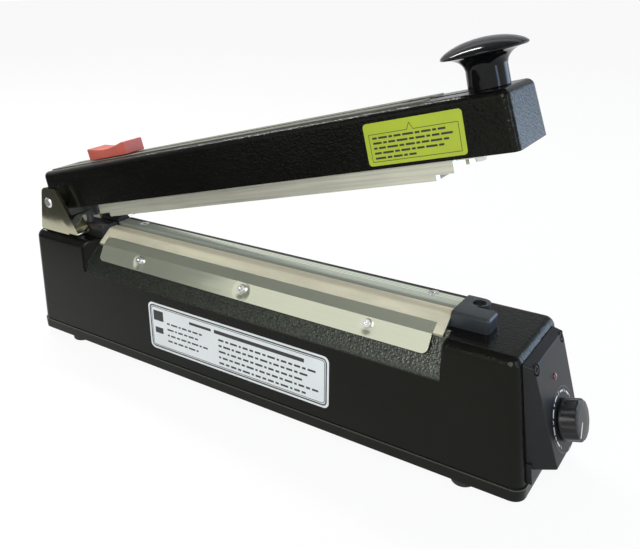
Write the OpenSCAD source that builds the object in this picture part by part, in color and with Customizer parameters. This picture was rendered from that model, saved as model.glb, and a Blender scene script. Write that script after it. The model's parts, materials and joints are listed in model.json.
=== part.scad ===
// Counter-top impulse heat sealer with a film cutter that slides along its lever arm.
// X runs along the sealer with the hinge at -X, the front is -Y, and Z is up from the table.
// X = 0 is half way between the hinge end of the tray and the face of the timer knob.

/* [Base] */
// Length of the bottom tray
base_l = 450; // [442:1:464]
// Width of the bottom tray
base_w = 76; // [75:0.5:82]
// Height of the casing's flat top above the table
casing_top = 98.8; // [95:0.2:106]
// Height of the tray's upturned flange
tray_h = 8.5; // [7:0.5:11]
// Height of the rubber feet
foot_h = 6; // [5:0.5:8]
// Wall thickness of the casing
wall = 3; // [2.6:0.1:3.4]

/* [Sealing jaw] */
// Length of the seal
seal_l = 300; // [280:1:302]
// Width of the heating ribbon
ribbon_w = 2.6; // [1.6:0.2:4]
// Height of the sealing face above the casing's top
jaw_h = 7.2; // [6.8:0.1:8]

/* [Arm] */
// Angle at which the arm stands open
open_angle = 13.85; // [12:0.05:15]
// Length of the arm from the hinge to its far end
arm_l = 404; // [400:1:408]
// Width of the arm at its underside
arm_w = 46; // [45:0.5:47]
// Height of the arm's section
arm_h = 32.7; // [32:0.1:35]
// Height of the hinge axis above the casing's top
hinge_h = 27.6; // [27:0.1:29]

/* [Handle] */
// Diameter of the palm cap
cap_d = 47.7; // [40:0.5:54]
// Diameter of the handle's stem
stem_d = 23.2; // [18:0.2:26]
// Height of the cap's rim above the arm
rim_h = 19.6; // [16:0.2:26]

/* [Timer] */
// Diameter of the timer knob
knob_d = 26.5; // [20:0.5:29]
// Length of the timer knob
knob_l = 10.5; // [8:0.5:14]

/* [Fits] */
// Radial clearance of the running fits
run_gap = 0.05; // [0.03:0.01:0.09]

/* [Hidden] */
$fn = 48;

// Small gap between pieces that rest on each other
seat = 0.05;
// Gap left between the pads and the jaw when the arm is down
press_gap = 0.3;
// Screw radius, and the radius of the hole it is driven into
screw_r = 2;
screw_hole_r = screw_r + 0.02;

// Place of the base's middle: the panel and the knob reach further out than the tray does
mid_x = -11.82;

// Bottom tray
tray_wall = 2.5;
tray_floor = 1.6;
tray_r = 8;
floor_z = foot_h + tray_floor;
seam_z = foot_h + tray_h;
foot_x = base_l / 2 - 41;
foot_y = base_w / 2 - 10.5;
foot_r = 8.5;
vent_count = 9;
vent_pitch = 8;

// Casing outline: straight drafted walls between a plan at the seam and rounded top edges
flange_lip = 0.8;
cas_l = base_l / 2 - flange_lip;
cas_w = base_w / 2 - flange_lip;
end_draft = 10.6;
hinge_draft = 4.6;
side_draft = 4.6;
back_draft = 0.6;
edge_r = 7;
corner_r = 8;
end_k = end_draft / (casing_top - seam_z);
hinge_k = hinge_draft / (casing_top - seam_z);
side_k = side_draft / (casing_top - seam_z);
back_k = back_draft / (casing_top - seam_z);
edge_z = casing_top - edge_r;
function half_l(z) = cas_l - end_k * (z - seam_z);
function end_x(z) = mid_x + half_l(z);
function side_y(z) = cas_w - side_k * (z - seam_z);
function back_y(z) = cas_w - back_k * (z - seam_z);
// Middle of a rounded top edge, from the wall's place at its height and the wall's slope
function edge_mid(at, k) = at - edge_r * sqrt(1 + k * k);
edge_x = edge_mid(half_l(edge_z), end_k);
hinge_edge_x = edge_mid(cas_l - hinge_k * (edge_z - seam_z), hinge_k);
edge_y = edge_mid(side_y(edge_z), side_k);
back_edge_y = edge_mid(back_y(edge_z), back_k);

// Posts inside the casing's corners for the screws from below
post_r = 5;
post_h = 26;
post_x = base_l / 2 - 25;
post_y = cas_w - wall - post_r + 0.5;

// Hinge and arm
hinge_x = mid_x + 31 - base_l / 2;
hinge_z = casing_top + hinge_h;
pin_r = 4;
arm_under = 8.5;
arm_top = arm_h - arm_under;
arm_tail = 10.5;
arm_draft = 1;
arm_edge = 4.5;
arm_wall = 4;
arm_in = arm_w / 2 - arm_wall;
arm_roof = 3.5;
ear_in = arm_w / 2 + 5.5;
ear_t = 3;
ear_out = ear_in + ear_t;
web_t = 3;
web_z = casing_top + seat + web_t;

// Sealing jaw, across the sealer: the sealing face, its front slope, and the folded clamp strip
cover_l = seal_l + 9.5;
cover_x1 = hinge_x + 47;
cover_x2 = cover_x1 + cover_l;
jaw_x = (cover_x1 + cover_x2) / 2;
face_z = casing_top + jaw_h;
bar_top = face_z - 0.6;
ribbon_y = -6.5;
cover_t = 0.2;
face_back = -1.9;
ridge_y = -10.6;
fold_y = -23.6;
slope_k = 0.7615;
function slope_z(y) = face_z - slope_k * (ridge_y - y);
slope_dir = [-1, -slope_k] / norm([1, slope_k]);
slope_out = [-slope_k, 1] / norm([1, slope_k]);
strip_t = 0.8;
strip_top_y = -17;
strip_fold = [fold_y, slope_z(fold_y)] + (strip_t + 0.03) * slope_out;
strip_dir = [-0.529, -0.848] / norm([0.529, 0.848]);
strip_in = [0.848, -0.529] / norm([0.529, 0.848]);
strip_drop = 13.2;
strip_l = seal_l - 3.5;
strip_screw_at = strip_fold + 4.55 * strip_dir;
strip_screw_xs = [for (i = [-1:1]) jaw_x + i * seal_l * 0.347];
lip_l = seal_l - 10;
bar_screw_xs = [for (i = [-1:1]) jaw_x + i * seal_l * 0.4];
bar_screw_y = -9;

// Recess in the casing's front top edge
rec_k = 0.63;
rec_top_y = fold_y + 5.4;
rec_z = casing_top - (cas_w - side_draft + rec_top_y) / (rec_k - side_k);
rec_y0 = -side_y(rec_z);
rec_taper = 0.62;
rec_x1 = cover_x1 - 10.5;
rec_x2 = cover_x2 + 3.5;
rec_bed = 6;
function rec_y(z) = rec_y0 + rec_k * (z - rec_z);

// Ribbed rail behind the groove that the blade runs in
rail_front = 3.3;
rail_back = 17.8;
rail_x1 = cover_x1 - 4.5;
rail_x2 = cover_x2 - 1.3;
rib_y = 7.4;
rib_count = 5;
rib_pitch = (rail_back - rib_y) / rib_count;
rib_depth = 0.5;
rail_screw_xs = [rail_x1 + 22, rail_x2 - 22];
rail_screw_y = 12.6;
groove_y = (face_back + rail_front) / 2;

// End blocks beside the jaw
block_top = casing_top + 10.2;
block_z = casing_top + seat;
block_chamfer = 1.7;
pocket_top = bar_top + 0.9;
left_x1 = hinge_x + 21;
left_x2 = cover_x1 - 0.3;
left_front = -18;
left_back = 16;
right_x1 = cover_x2 + 0.3;
right_x2 = right_x1 + 25;
right_front = -13;
right_step = 2.5;
tab_r = 6;
tab_x = right_x1 + 11;
tab_y = right_step + tab_r;
left_screw = [left_x1 + 11, 9.5];
right_screw = [right_x1 + 10.5, tab_y - 1.5];
left_term_x = cover_x1 - 10.5;
right_term_x = cover_x2 + 8;
term_w = 6;

// Switch under the hinge end of the arm
striker_x1 = 21.8;
striker_l = 7.2;
striker_drop = 12.4;
plunger_r = 3;
plunger_x = hinge_x + striker_x1 + striker_l / 2 + 1.1;
plunger_y = -12.5;
// Height of the striker's sloped underside above the plunger's axis while the arm is open
strike_z = hinge_z - striker_drop / cos(open_angle) + (plunger_x - hinge_x) * tan(open_angle);
plunger_top = strike_z - (plunger_r + press_gap) / cos(open_angle);
plunger_down = hinge_z - striker_drop - plunger_r - press_gap;
plunger_travel = plunger_top - plunger_down;
collar_r = 4.5;
collar_z = casing_top - wall - 0.4;
button_top = casing_top - 20;
plunger_end = button_top + 0.4 + plunger_travel;
switch_top = button_top - 1.6;

// Pressure bars under the arm, in the arm's own frame
jaw_drop = hinge_h - jaw_h - press_gap;
bar_x1 = 45;
bar_x2 = arm_l - 40.5;
bar_mid = (bar_x1 + bar_x2) / 2;
bar_l = bar_x2 - bar_x1;
pad_half = bar_l / 2 - 11.75;
pad_t = 3.3;
bar_low = pad_t - jaw_drop;
bar_up = -arm_under - seat;
front_bar_y = [-18, -1.8];
rear_bar_y = [rail_front, 19];
lip_y = -13;
bar_bolt_xs = [for (i = [-1:1]) bar_mid + i * bar_l * 0.42];
front_bolt_y = -11.5;
rear_bolt_y = 12.5;

// Handle and cutter, in the arm's own frame
handle_x = arm_l - 18.5;
stem_h = 11;
dome_h = 7.2;
handle_boss = -3;
end_wall_t = 5;
plate_t = 1.8;
plate_bolt_x = handle_x - 8.3;
track_y = 14.8;
track_t = 1.4;
track_z = arm_top - 0.6;
track_x1 = -5;
track_x2 = handle_x - 36;
slot_x1 = 6;
slot_x2 = handle_x - stem_d / 2 - 1;
slot_y = 3.2;
slider_x1 = 41.3;
slider_l = 47;
slider_y = 9.3;
slider_z = track_z + track_t + 0.6;
slider_h = 9.4;
saddle_h = 7;
carriage_x = slider_x1 + slider_l / 2;
carriage_y = 5;
carriage_z = [2, arm_top - arm_roof - 0.5];
neck_y = 2.5;
blade_t = 0.6;
blade_tip = -23;

// Control panel on the right end, and the timer in its sloping face
panel_z = [29, casing_top - 4.8];
panel_x = [end_x(panel_z[0]) + 17.6, end_x(panel_z[1]) + 6.3];
panel_y = [24.5, 27.2];
panel_back_y = 28.5;
panel_r = 1.2;
panel_skirt = 7;
panel_flange = 3.2;
panel_wall = 2.4;
panel_tilt = atan((panel_x[0] - panel_x[1]) / (panel_z[1] - panel_z[0]));
dial_z = panel_z[0] + 19.6;
dial_x = panel_x[0] - (dial_z - panel_z[0]) * tan(panel_tilt);
lens_up = 29;
lens_r = 2.2;
lens_rise = 1;
lens_dome = (pow(lens_r - 0.2, 2) + lens_rise * lens_rise) / (2 * lens_rise);
panel_screw = [-(panel_z[1] - 2.7 - dial_z) / cos(panel_tilt), 23.2];
shaft_r = 3;
bush_r = 3.5;
knob_gap = 1;
flute_count = 18;

// Transformer on the tray's floor
tr_x = 8;
core = [66, 30, 55];
leg_w = 22;
window = [11, 33];
coil_y = 25;
core_mid = floor_z + seat + core[2] / 2;

// Cord gland in the back wall
gland_x = mid_x + base_l / 2 - 60.3;
gland_z = 40;
gland_r = 6.5;
gland_bore = 3.5;

// Torsion spring round the hinge pin
wire_r = 0.9;
coil_r = 6.5;
coil_half = 9;
coil_turns = 6;
coil_sweep = 90 - open_angle + 360 * coil_turns;
coil_steps = ceil(coil_sweep / 45);
leg_down = hinge_h - web_t - seat - press_gap;
leg_along = 25;
echo(spring_gap = 2 * coil_half / (coil_sweep / 360) - 2 * wire_r);

// Point where two lines, each given by a point and a direction, cross
function cross2(a, b) = a[0] * b[1] - a[1] * b[0];
function meet(p, u, q, v) = p + u * cross2(q - p, v) / cross2(u, v);
function arc(c, r, a1, a2, n) = [for (i = [0:n]) let (a = a1 + (a2 - a1) * i / n) c + r * [cos(a), sin(a)]];
function around(c, h) = [c - h, c + h];

// Frames: along the arm, on the panel's face at the dial's centre, and square to the back wall
module at_arm() translate([hinge_x, 0, hinge_z]) rotate([0, -open_angle, 0]) children();
module at_face() translate([dial_x, 0, dial_z]) rotate([0, 90 - panel_tilt, 0]) children();
module at_gland() translate([gland_x, back_y(gland_z), gland_z]) rotate([atan(back_k) - 90, 0, 0]) children();

// Outline in Y and Z drawn out along X, and outline in X and Z drawn out along Y
module along_x(x1, x2) translate([x1, 0, 0]) rotate([90, 0, 90]) linear_extrude(x2 - x1) children();
module along_y(y1, y2) translate([0, y2, 0]) rotate([90, 0, 0]) linear_extrude(y2 - y1) children();
module pin_y(r, y1, y2) translate([0, y1, 0]) rotate([-90, 0, 0]) cylinder(r = r, h = y2 - y1);
module box(x, y, z) translate([x[0], y[0], z[0]]) cube([x[1] - x[0], y[1] - y[0], z[1] - z[0]]);
module both_y() {
  children();
  mirror([0, 1, 0]) children();
}

// Slab with round upright corners
module slab(hl, hw, r, z1, z2) translate([0, 0, z1]) linear_extrude(z2 - z1) {
  square([2 * hl, 2 * (hw - r)], center = true);
  square([2 * (hl - r), 2 * hw], center = true);
  for (sx = [-1, 1], sy = [-1, 1]) translate([sx * (hl - r), sy * (hw - r)]) circle(r);
}

// Pan head with a cross recess; the head sits on Z = 0 and the shank hangs below
module pan_screw(len, head_r = 3.6, head_h = 2.2) {
  difference() {
    union() {
      cylinder(r1 = head_r, r2 = head_r * 0.8, h = head_h);
      translate([0, 0, -len]) cylinder(r = screw_r, h = len + 0.1);
    }
    for (a = [0, 90]) rotate([0, 0, a]) translate([0, 0, head_h]) cube([head_r * 1.1, 0.8, 2.4], center = true);
  }
}

// Faces of a six-sided tube through a number of rings of points, with both ends closed
tube_sides = 6;
function tube_faces(rings) = concat(
  [[for (k = [0:tube_sides - 1]) tube_sides - 1 - k]],
  [[for (k = [0:tube_sides - 1]) (rings - 1) * tube_sides + k]],
  [for (i = [0:rings - 2], k = [0:tube_sides - 1])
    let (n = (k + 1) % tube_sides, a = i * tube_sides, b = a + tube_sides) [a + k, a + n, b + n, b + k]]);

// Wire of radius r along straight runs between points, mitred where it bends
function unit(v) = v / norm(v);
function heading(p, i) = unit(
  (i > 0 ? unit(p[i] - p[i - 1]) : [0, 0, 0]) + (i < len(p) - 1 ? unit(p[i + 1] - p[i]) : [0, 0, 0]));
module run(p, r) polyhedron(
  points = [for (i = [0:len(p) - 1])
    let (t = heading(p, i), a = unit(cross(t, [0.2, 0.3, 0.9])), b = cross(a, t))
    for (k = [0:tube_sides - 1]) p[i] + r * (cos(k * 360 / tube_sides) * a + sin(k * 360 / tube_sides) * b)],
  faces = tube_faces(len(p)));

// Tray, feet and their screws
module bottom_tray() color([0.10, 0.10, 0.10]) difference() {
  translate([mid_x, 0, 0]) slab(base_l / 2, base_w / 2, tray_r, foot_h, seam_z - seat);
  translate([mid_x, 0, 0])
    slab(base_l / 2 - tray_wall, base_w / 2 - tray_wall, tray_r - tray_wall, floor_z, seam_z + 1);
  for (sx = [-1, 1], sy = [-1, 1]) {
    translate([mid_x + sx * foot_x, sy * foot_y, 0]) cylinder(r = screw_hole_r, h = seam_z);
    translate([mid_x + sx * post_x, sy * post_y, 0]) cylinder(r = screw_hole_r, h = seam_z);
  }
  for (x = [-40, 40]) translate([tr_x + x, 0, 0]) cylinder(r = screw_hole_r, h = seam_z);
  for (i = [0:vent_count - 1], x = [-120, 110]) translate([x + i * vent_pitch, -12, 0]) cube([3, 24, seam_z]);
}

module rubber_feet() color([0.06, 0.06, 0.06]) for (sx = [-1, 1], sy = [-1, 1])
  translate([mid_x + sx * foot_x, sy * foot_y, 0]) rotate_extrude()
    polygon([
      [5, 0], [foot_r - 1, 0], [foot_r, 1], [foot_r, foot_h - seat], [2.2, foot_h - seat], [2.2, 3], [5, 3]]);

module foot_screws() color([0.75, 0.75, 0.74]) for (sx = [-1, 1], sy = [-1, 1])
  translate([mid_x + sx * foot_x, sy * foot_y, 3 - seat]) mirror([0, 0, 1]) pan_screw(foot_h + 4, 4.2, 1.8);

module casing_screws() color([0.75, 0.75, 0.74]) for (sx = [-1, 1], sy = [-1, 1])
  translate([mid_x + sx * post_x, sy * post_y, foot_h - seat]) mirror([0, 0, 1]) pan_screw(16);

// Casing
module casing_form(inset) hull() for (sx = [-1, 1], sy = [-1, 1]) {
  translate([mid_x + (sx > 0 ? edge_x : -hinge_edge_x), sy > 0 ? back_edge_y : -edge_y, edge_z])
    sphere(r = edge_r - inset, $fn = 32);
  translate([mid_x + sx * (cas_l - corner_r), sy * (cas_w - corner_r), seam_z - min(inset, 1)])
    cylinder(r = corner_r - inset, h = 0.1, $fn = 32);
}

module recess_bed() along_x(rec_x1 - 4, rec_x2 + 4) polygon([
  [1 - side_y(rec_z - 10), rec_z - 10], [1 - side_y(edge_z), edge_z],
  [-edge_y, casing_top - 0.6], [rec_y(casing_top) + rec_bed, casing_top - 0.6],
  [rec_y0 + rec_bed, rec_z], [rec_y0 + rec_bed, rec_z - 10]]);

// The cut's left end wall leans, so that the recess is shorter where it is deeper
module recess_cut() intersection() {
  along_x(rec_x1 - 1, rec_x2) polygon([
    [rec_y(rec_z - 8), rec_z - 8], [rec_y(casing_top + 4), casing_top + 4],
    [-base_w, casing_top + 4], [-base_w, rec_z - 8]]);
  linear_extrude(2 * casing_top) polygon([
    [rec_x1, -2 * base_w], [rec_x1, rec_y0], [rec_x1 - rec_taper * rec_y0, 0],
    [rec_x2 + 1, 0], [rec_x2 + 1, -2 * base_w]]);
}

// Axis of a clamp strip screw, with the head outward along +Z
module at_strip_screw(x) translate([x, strip_screw_at[0], strip_screw_at[1]])
  rotate([acos(-strip_in[1]), 0, 0]) children();

// Places and radii of the upright holes through the casing's top
top_holes = concat(
  [for (x = bar_screw_xs) [x, bar_screw_y, screw_hole_r]],
  [for (x = rail_screw_xs) [x, rail_screw_y, screw_hole_r]],
  [[left_screw[0], left_screw[1], screw_hole_r], [right_screw[0], right_screw[1], screw_hole_r]],
  [for (x = [-8, 13], y = [-20, 20]) [hinge_x + x, y, screw_hole_r]],
  [[left_term_x, ribbon_y, 2.5], [right_term_x, ribbon_y, 2.5], [plunger_x, plunger_y, plunger_r + 0.5]]);

module base_casing() color([0.12, 0.13, 0.12]) difference() {
  union() {
    difference() {
      casing_form(0);
      casing_form(wall);
    }
    recess_bed();
    for (sx = [-1, 1], sy = [-1, 1])
      translate([mid_x + sx * post_x, sy * post_y, floor_z + seat]) cylinder(r = post_r, h = post_h);
  }
  recess_cut();
  box([mid_x + edge_x - 20, base_l], [-19, 19], [panel_z[0] + 1, panel_z[1] - 10]);
  for (h = top_holes) translate([h[0], h[1], casing_top - 12]) cylinder(r = h[2], h = 20);
  for (x = strip_screw_xs) at_strip_screw(x) translate([0, 0, -12]) cylinder(r = screw_hole_r, h = 20);
  for (sx = [-1, 1], sy = [-1, 1])
    translate([mid_x + sx * post_x, sy * post_y, floor_z - 1]) cylinder(r = screw_hole_r, h = 20);
  for (sy = [-1, 1]) at_face() translate([panel_screw[0], sy * panel_screw[1], -20])
    cylinder(r = screw_hole_r, h = 20);
  at_gland() translate([0, 0, -10]) cylinder(r = gland_r + seat, h = 20);
}

// Sealing jaw
module jaw_bar() color([0.62, 0.63, 0.62]) difference() {
  union() {
    along_x(cover_x1, cover_x2) polygon([
      [-2.3, block_z], [-2.3, bar_top], [ridge_y + 0.2, bar_top], [fold_y + 0.5, bar_top - 9.7],
      [fold_y + 1.2, bar_top - 10.9], [rec_y(casing_top), block_z]]);
    along_x(jaw_x - lip_l / 2, jaw_x + lip_l / 2) polygon([
      strip_fold + 0.9 * strip_in + 0.3 * strip_dir, strip_fold + 0.9 * strip_in + 8 * strip_dir,
      strip_fold + 2.9 * strip_in + 8 * strip_dir, strip_fold + 2.9 * strip_in + 0.3 * strip_dir]);
  }
  for (x = strip_screw_xs) at_strip_screw(x) translate([0, 0, -8]) cylinder(r = screw_hole_r, h = 9);
  for (x = bar_screw_xs) translate([x, bar_screw_y, block_z - 1]) cylinder(r = screw_hole_r, h = 4.6);
}

module jaw_bar_screws() color([0.75, 0.75, 0.74]) for (x = bar_screw_xs)
  translate([x, bar_screw_y, casing_top - wall - 0.15]) mirror([0, 0, 1]) pan_screw(wall + 3.4);

module insulating_strip() color([0.75, 0.66, 0.46])
  box([cover_x1 + 1, cover_x2 - 1], [ribbon_y - 3.1, ribbon_y + 3.1], [bar_top, bar_top + 0.2]);

module heating_ribbon() color([0.55, 0.54, 0.52])
  box([left_term_x - 3, right_term_x + 3], around(ribbon_y, ribbon_w / 2), [bar_top + 0.2, bar_top + 0.35]);

module ptfe_cover() color([0.80, 0.74, 0.58]) along_x(cover_x1, cover_x2) polygon([
  [face_back, face_z - 6], [face_back, face_z], [ridge_y, face_z], [fold_y + 0.8, slope_z(fold_y + 0.8)],
  [fold_y + 0.9, slope_z(fold_y + 0.8) - 0.25], [ridge_y + 0.08, face_z - cover_t],
  [face_back - cover_t, face_z - cover_t], [face_back - cover_t, face_z - 6]]);

module clamp_strip() color([0.80, 0.81, 0.78]) difference() {
  upper = [strip_top_y, slope_z(strip_top_y)];
  along_x(jaw_x - strip_l / 2, jaw_x + strip_l / 2) polygon([
    upper + (strip_t + 0.03) * slope_out, strip_fold, strip_fold + strip_drop * strip_dir,
    strip_fold + strip_drop * strip_dir + strip_t * strip_in,
    meet(upper + 0.03 * slope_out, slope_dir, strip_fold + strip_t * strip_in, strip_dir),
    upper + 0.03 * slope_out]);
  for (x = strip_screw_xs) at_strip_screw(x) translate([0, 0, -4]) cylinder(r = screw_hole_r, h = 8);
}

module clamp_strip_screws() color([0.78, 0.78, 0.77])
  for (x = strip_screw_xs) at_strip_screw(x) translate([0, 0, seat]) pan_screw(9, 3.4, 2);

module cutting_rail() color([0.72, 0.73, 0.72]) difference() {
  along_x(rail_x1, rail_x2) polygon(concat(
    [[rail_back, block_z], [rail_front, block_z], [rail_front, face_z - 0.8], [rail_front + 0.8, face_z]],
    [for (i = [0:2 * rib_count]) [rib_y + i * rib_pitch / 2, face_z - (i % 2) * rib_depth]]));
  for (x = rail_screw_xs) translate([x, rail_screw_y, 0]) {
    cylinder(r = screw_hole_r, h = face_z + 1);
    translate([0, 0, face_z - 2.4]) cylinder(r1 = screw_r, r2 = 4.4, h = 2.6);
  }
}

module rail_screws() color([0.80, 0.80, 0.79]) for (x = rail_screw_xs)
  translate([x, rail_screw_y, 0]) difference() {
  union() {
    translate([0, 0, casing_top - 9]) cylinder(r = screw_r, h = jaw_h + 7);
    translate([0, 0, face_z - 2.3]) cylinder(r1 = screw_r, r2 = 3.9, h = 2);
  }
  for (a = [0, 90]) rotate([0, 0, a]) translate([0, 0, face_z - 0.3]) cube([4.2, 0.8, 2.2], center = true);
}

// Outline of an end block across the sealer, with its top edges chamfered
module block_outline(y1, y2) polygon([
  [y1, block_z], [y1, block_top - block_chamfer], [y1 + block_chamfer, block_top],
  [y2 - block_chamfer, block_top], [y2, block_top - block_chamfer], [y2, block_z]]);

// Hole for a block's screw, with a counterbore for the head
module block_screw_hole(at) translate([at[0], at[1], 0]) {
  cylinder(r = screw_hole_r, h = block_top + 1);
  translate([0, 0, block_top - 4]) cylinder(r = 4.2, h = 5);
}

module right_end_block() color([0.25, 0.27, 0.26]) difference() {
  union() {
    along_x(right_x1, right_x2) block_outline(right_front, right_step);
    box([right_x1, tab_x], [right_step - 2, right_step + 2 * tab_r], [block_z, block_top]);
    translate([tab_x, tab_y, block_z]) cylinder(r = tab_r, h = block_top - block_z);
  }
  box([right_x1 - 1, right_term_x + 6], around(ribbon_y, 3.6), [block_z - 1, pocket_top]);
  block_screw_hole(right_screw);
}

module left_end_block() color([0.08, 0.08, 0.09]) difference() {
  union() {
    along_x(left_x1, left_x2) block_outline(left_front, face_back + 0.4);
    along_x(left_x1, rail_x1 - 0.3) block_outline(rail_front - 0.3, left_back);
    box([left_x1, rail_x1 - 0.3], [face_back, rail_front], [block_z, block_z + 2]);
  }
  box([left_term_x - 5, left_x2 + 1], around(ribbon_y, 3.6), [block_z - 1, pocket_top]);
  block_screw_hole(left_screw);
  translate([plunger_x, plunger_y, 0]) cylinder(r = plunger_r + run_gap, h = block_top + 1);
}

module end_block_screws() color([0.30, 0.30, 0.30])
  for (at = [left_screw, right_screw]) translate([at[0], at[1], block_top - 4 + seat])
    pan_screw(block_top - casing_top + wall - 4.4);

// Brass post that clamps one end of the ribbon, with a stud down into the casing
module terminal(x) color([0.72, 0.58, 0.28]) {
  box(around(x, term_w / 2), around(ribbon_y, term_w / 2), [block_z, bar_top + 0.15]);
  translate([x, ribbon_y, casing_top - 14]) cylinder(r = screw_r, h = 15);
}

module right_terminal() terminal(right_term_x);

module left_terminal() terminal(left_term_x);

// Hinge
// Ear outline about the hinge axis, in X and Z, and the outline of the web with its bends, in Y and Z
bend_r = 4;
ear_low = casing_top + seat + bend_r - hinge_z;
ear_top = 12.8;
ear_back = [11.5, ear_top];
ear_toe = [32, -22];
ear_points = concat(
  [[-15.2, ear_low]], arc([-1.2, ear_top - 6], 6, 170, 90, 6), [ear_back, ear_toe, [ear_toe[0], ear_low]]);
function ear_edge(z) = ear_back[0] + (ear_toe[0] - ear_back[0]) * (ear_top - z) / (ear_top - ear_toe[1]);
bend_y = ear_out - bend_r;
web_points = concat(
  arc([-bend_y, ear_low], bend_r, 180, 270, 6), arc([bend_y, ear_low], bend_r, 270, 360, 6),
  arc([bend_y, ear_low], bend_r - ear_t, 360, 270, 3), arc([-bend_y, ear_low], bend_r - ear_t, 270, 180, 3));
gusset_top = -arm_under - 0.6;
gusset_t = 2.5;

module hinge_bracket() color([0.78, 0.79, 0.80]) difference() {
  translate([hinge_x, 0, hinge_z]) {
    both_y() along_y(-ear_out, -ear_in) polygon(ear_points);
    along_x(-15.2, 20) polygon(web_points);
    both_y() along_y(-ear_in - 0.1, -arm_in - 0.3) polygon([
      [ear_edge(gusset_top), gusset_top], ear_toe, [ear_toe[0], ear_low],
      [ear_toe[0] - gusset_t, ear_low], ear_toe - [gusset_t, 0],
      [ear_edge(gusset_top) - gusset_t, gusset_top]]);
  }
  translate([hinge_x, 0, hinge_z]) pin_y(pin_r + 0.02, -base_w, base_w);
  for (x = [-8, 13], y = [-20, 20]) translate([hinge_x + x, y, 0]) cylinder(r = screw_hole_r, h = web_z + 1);
}

module bracket_screws() color([0.75, 0.75, 0.74])
  for (x = [-8, 13], y = [-20, 20]) translate([hinge_x + x, y, web_z + seat]) pan_screw(12);

module hinge_pin() color([0.76, 0.76, 0.74]) translate([hinge_x, 0, hinge_z]) {
  pin_y(pin_r, -ear_out - 0.2, ear_out + 0.2);
  both_y() translate([0, -ear_out - seat, 0]) rotate([90, 0, 0])
    cylinder(r1 = pin_r + 0.6, r2 = pin_r - 0.8, h = 1.2);
}

module hinge_washers() color([0.85, 0.83, 0.74]) translate([hinge_x, 0, hinge_z]) difference() {
  both_y() pin_y(7, -ear_in + seat, -arm_w / 2 - 0.3);
  pin_y(pin_r + 0.02, -base_w, base_w);
}

// Control panel
// Everything on the casing's side of its right end face
module behind_end(gap) translate([mid_x + cas_l + gap, 0, seam_z]) rotate([0, -atan(end_k), 0])
  translate([-60, -base_w, -60]) cube([60, 2 * base_w, 260]);

// Wedge between the end face and the sloping face, drawn in by an inset
module panel_form(inset) hull() for (i = [0, 1], sy = [-1, 1]) {
  rim = panel_r + inset;
  up = i == 0 ? 1 : -1;
  low = i == 0 ? panel_skirt : 2;
  translate([panel_x[i], sy * (panel_y[i] - rim), panel_z[i]]) rotate([0, -panel_tilt, 0])
    translate([-rim, 0, up * rim]) sphere(r = panel_r, $fn = 16);
  translate([end_x(panel_z[i]) - 6, sy * (panel_back_y - rim), panel_z[i] + up * (rim - low)])
    sphere(r = panel_r, $fn = 16);
}

module panel_foot() hull() for (z = [seam_z + 1, panel_z[0]])
  translate([end_x(z) - 2, -panel_back_y, z]) cube([2 + panel_flange, 2 * panel_back_y, 0.5]);

module control_panel() color([0.33, 0.34, 0.34]) difference() {
  union() {
    panel_form(0);
    panel_foot();
  }
  panel_form(panel_wall);
  behind_end(seat);
  at_face() {
    translate([0, 0, -8]) cylinder(r = bush_r + seat, h = 12);
    translate([-lens_up, 0, -8]) cylinder(r = lens_r + seat, h = 12);
    for (sy = [-1, 1]) translate([panel_screw[0], sy * panel_screw[1], -1.5]) {
      cylinder(r = 3.8, h = 4);
      translate([0, 0, -18]) cylinder(r = screw_hole_r, h = 20);
    }
  }
}

module panel_screws() color([0.10, 0.10, 0.10]) at_face() for (sy = [-1, 1])
  translate([panel_screw[0], sy * panel_screw[1], seat - 1.5]) pan_screw(9, 3.4, 1.4);

module indicator_lens() color([0.55, 0.06, 0.08]) at_face() translate([-lens_up, 0, 0]) {
  translate([0, 0, -5]) cylinder(r = lens_r, h = 5.3);
  translate([0, 0, 0.3]) intersection() {
    translate([0, 0, lens_rise - lens_dome]) sphere(r = lens_dome);
    translate([0, 0, lens_r]) cube(2 * lens_r, center = true);
  }
}

// Timer
module timer_potentiometer() color([0.45, 0.46, 0.48]) at_face() difference() {
  union() {
    translate([0, 0, -panel_wall - 0.6 - 8]) cylinder(r = 8.2, h = 8);
    translate([0, 0, -panel_wall - 1]) cylinder(r = bush_r, h = panel_wall + 5);
  }
  translate([0, 0, -8]) cylinder(r = shaft_r + run_gap, h = 20);
}

module timer_nut() color([0.70, 0.70, 0.69]) at_face() translate([0, 0, seat]) difference() {
  cylinder(r = 5.6, h = 2, $fn = 6);
  translate([0, 0, -1]) cylinder(r = bush_r + 0.02, h = 4);
}

board_z = -panel_wall - 8.8;
board_x = [-31, 15];
board_y = 17;
module timer_board() color([0.10, 0.32, 0.20]) at_face()
  box(board_x, [-board_y, board_y], [board_z - 1.6, board_z]);

module board_parts() color([0.22, 0.23, 0.25]) at_face()
  translate([0, 0, board_z - 1.6 - seat]) mirror([0, 0, 1]) {
  box([-26, -10], [-14, -2], [0, 14]);
  translate([-6, 6, 0]) cylinder(r = 5, h = 16);
  translate([-21, 7, 0]) cylinder(r = 4, h = 12);
  box([2, 12], [-14, -4], [0, 9]);
}

module timer_shaft() color([0.70, 0.70, 0.68]) at_face() translate([0, 0, -7])
  cylinder(r = shaft_r, h = 7 + knob_gap + knob_l - 2);

module timer_knob() color([0.08, 0.08, 0.08]) at_face() translate([0, 0, knob_gap]) difference() {
  union() {
    cylinder(r = knob_d / 2, h = knob_l - 1);
    translate([0, 0, knob_l - 1.01]) cylinder(r1 = knob_d / 2, r2 = knob_d / 2 - 1, h = 1.01);
  }
  for (i = [0:flute_count - 1]) rotate([0, 0, i * 360 / flute_count]) translate([knob_d / 2 + 0.9, 0, 2.5])
    cylinder(r = 1.6, h = knob_l, $fn = 24);
  translate([0, 0, -1]) cylinder(r = 7.4, h = 6.2);
  translate([0, 0, -1]) cylinder(r = shaft_r + 0.02, h = knob_l - 0.95);
}

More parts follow.
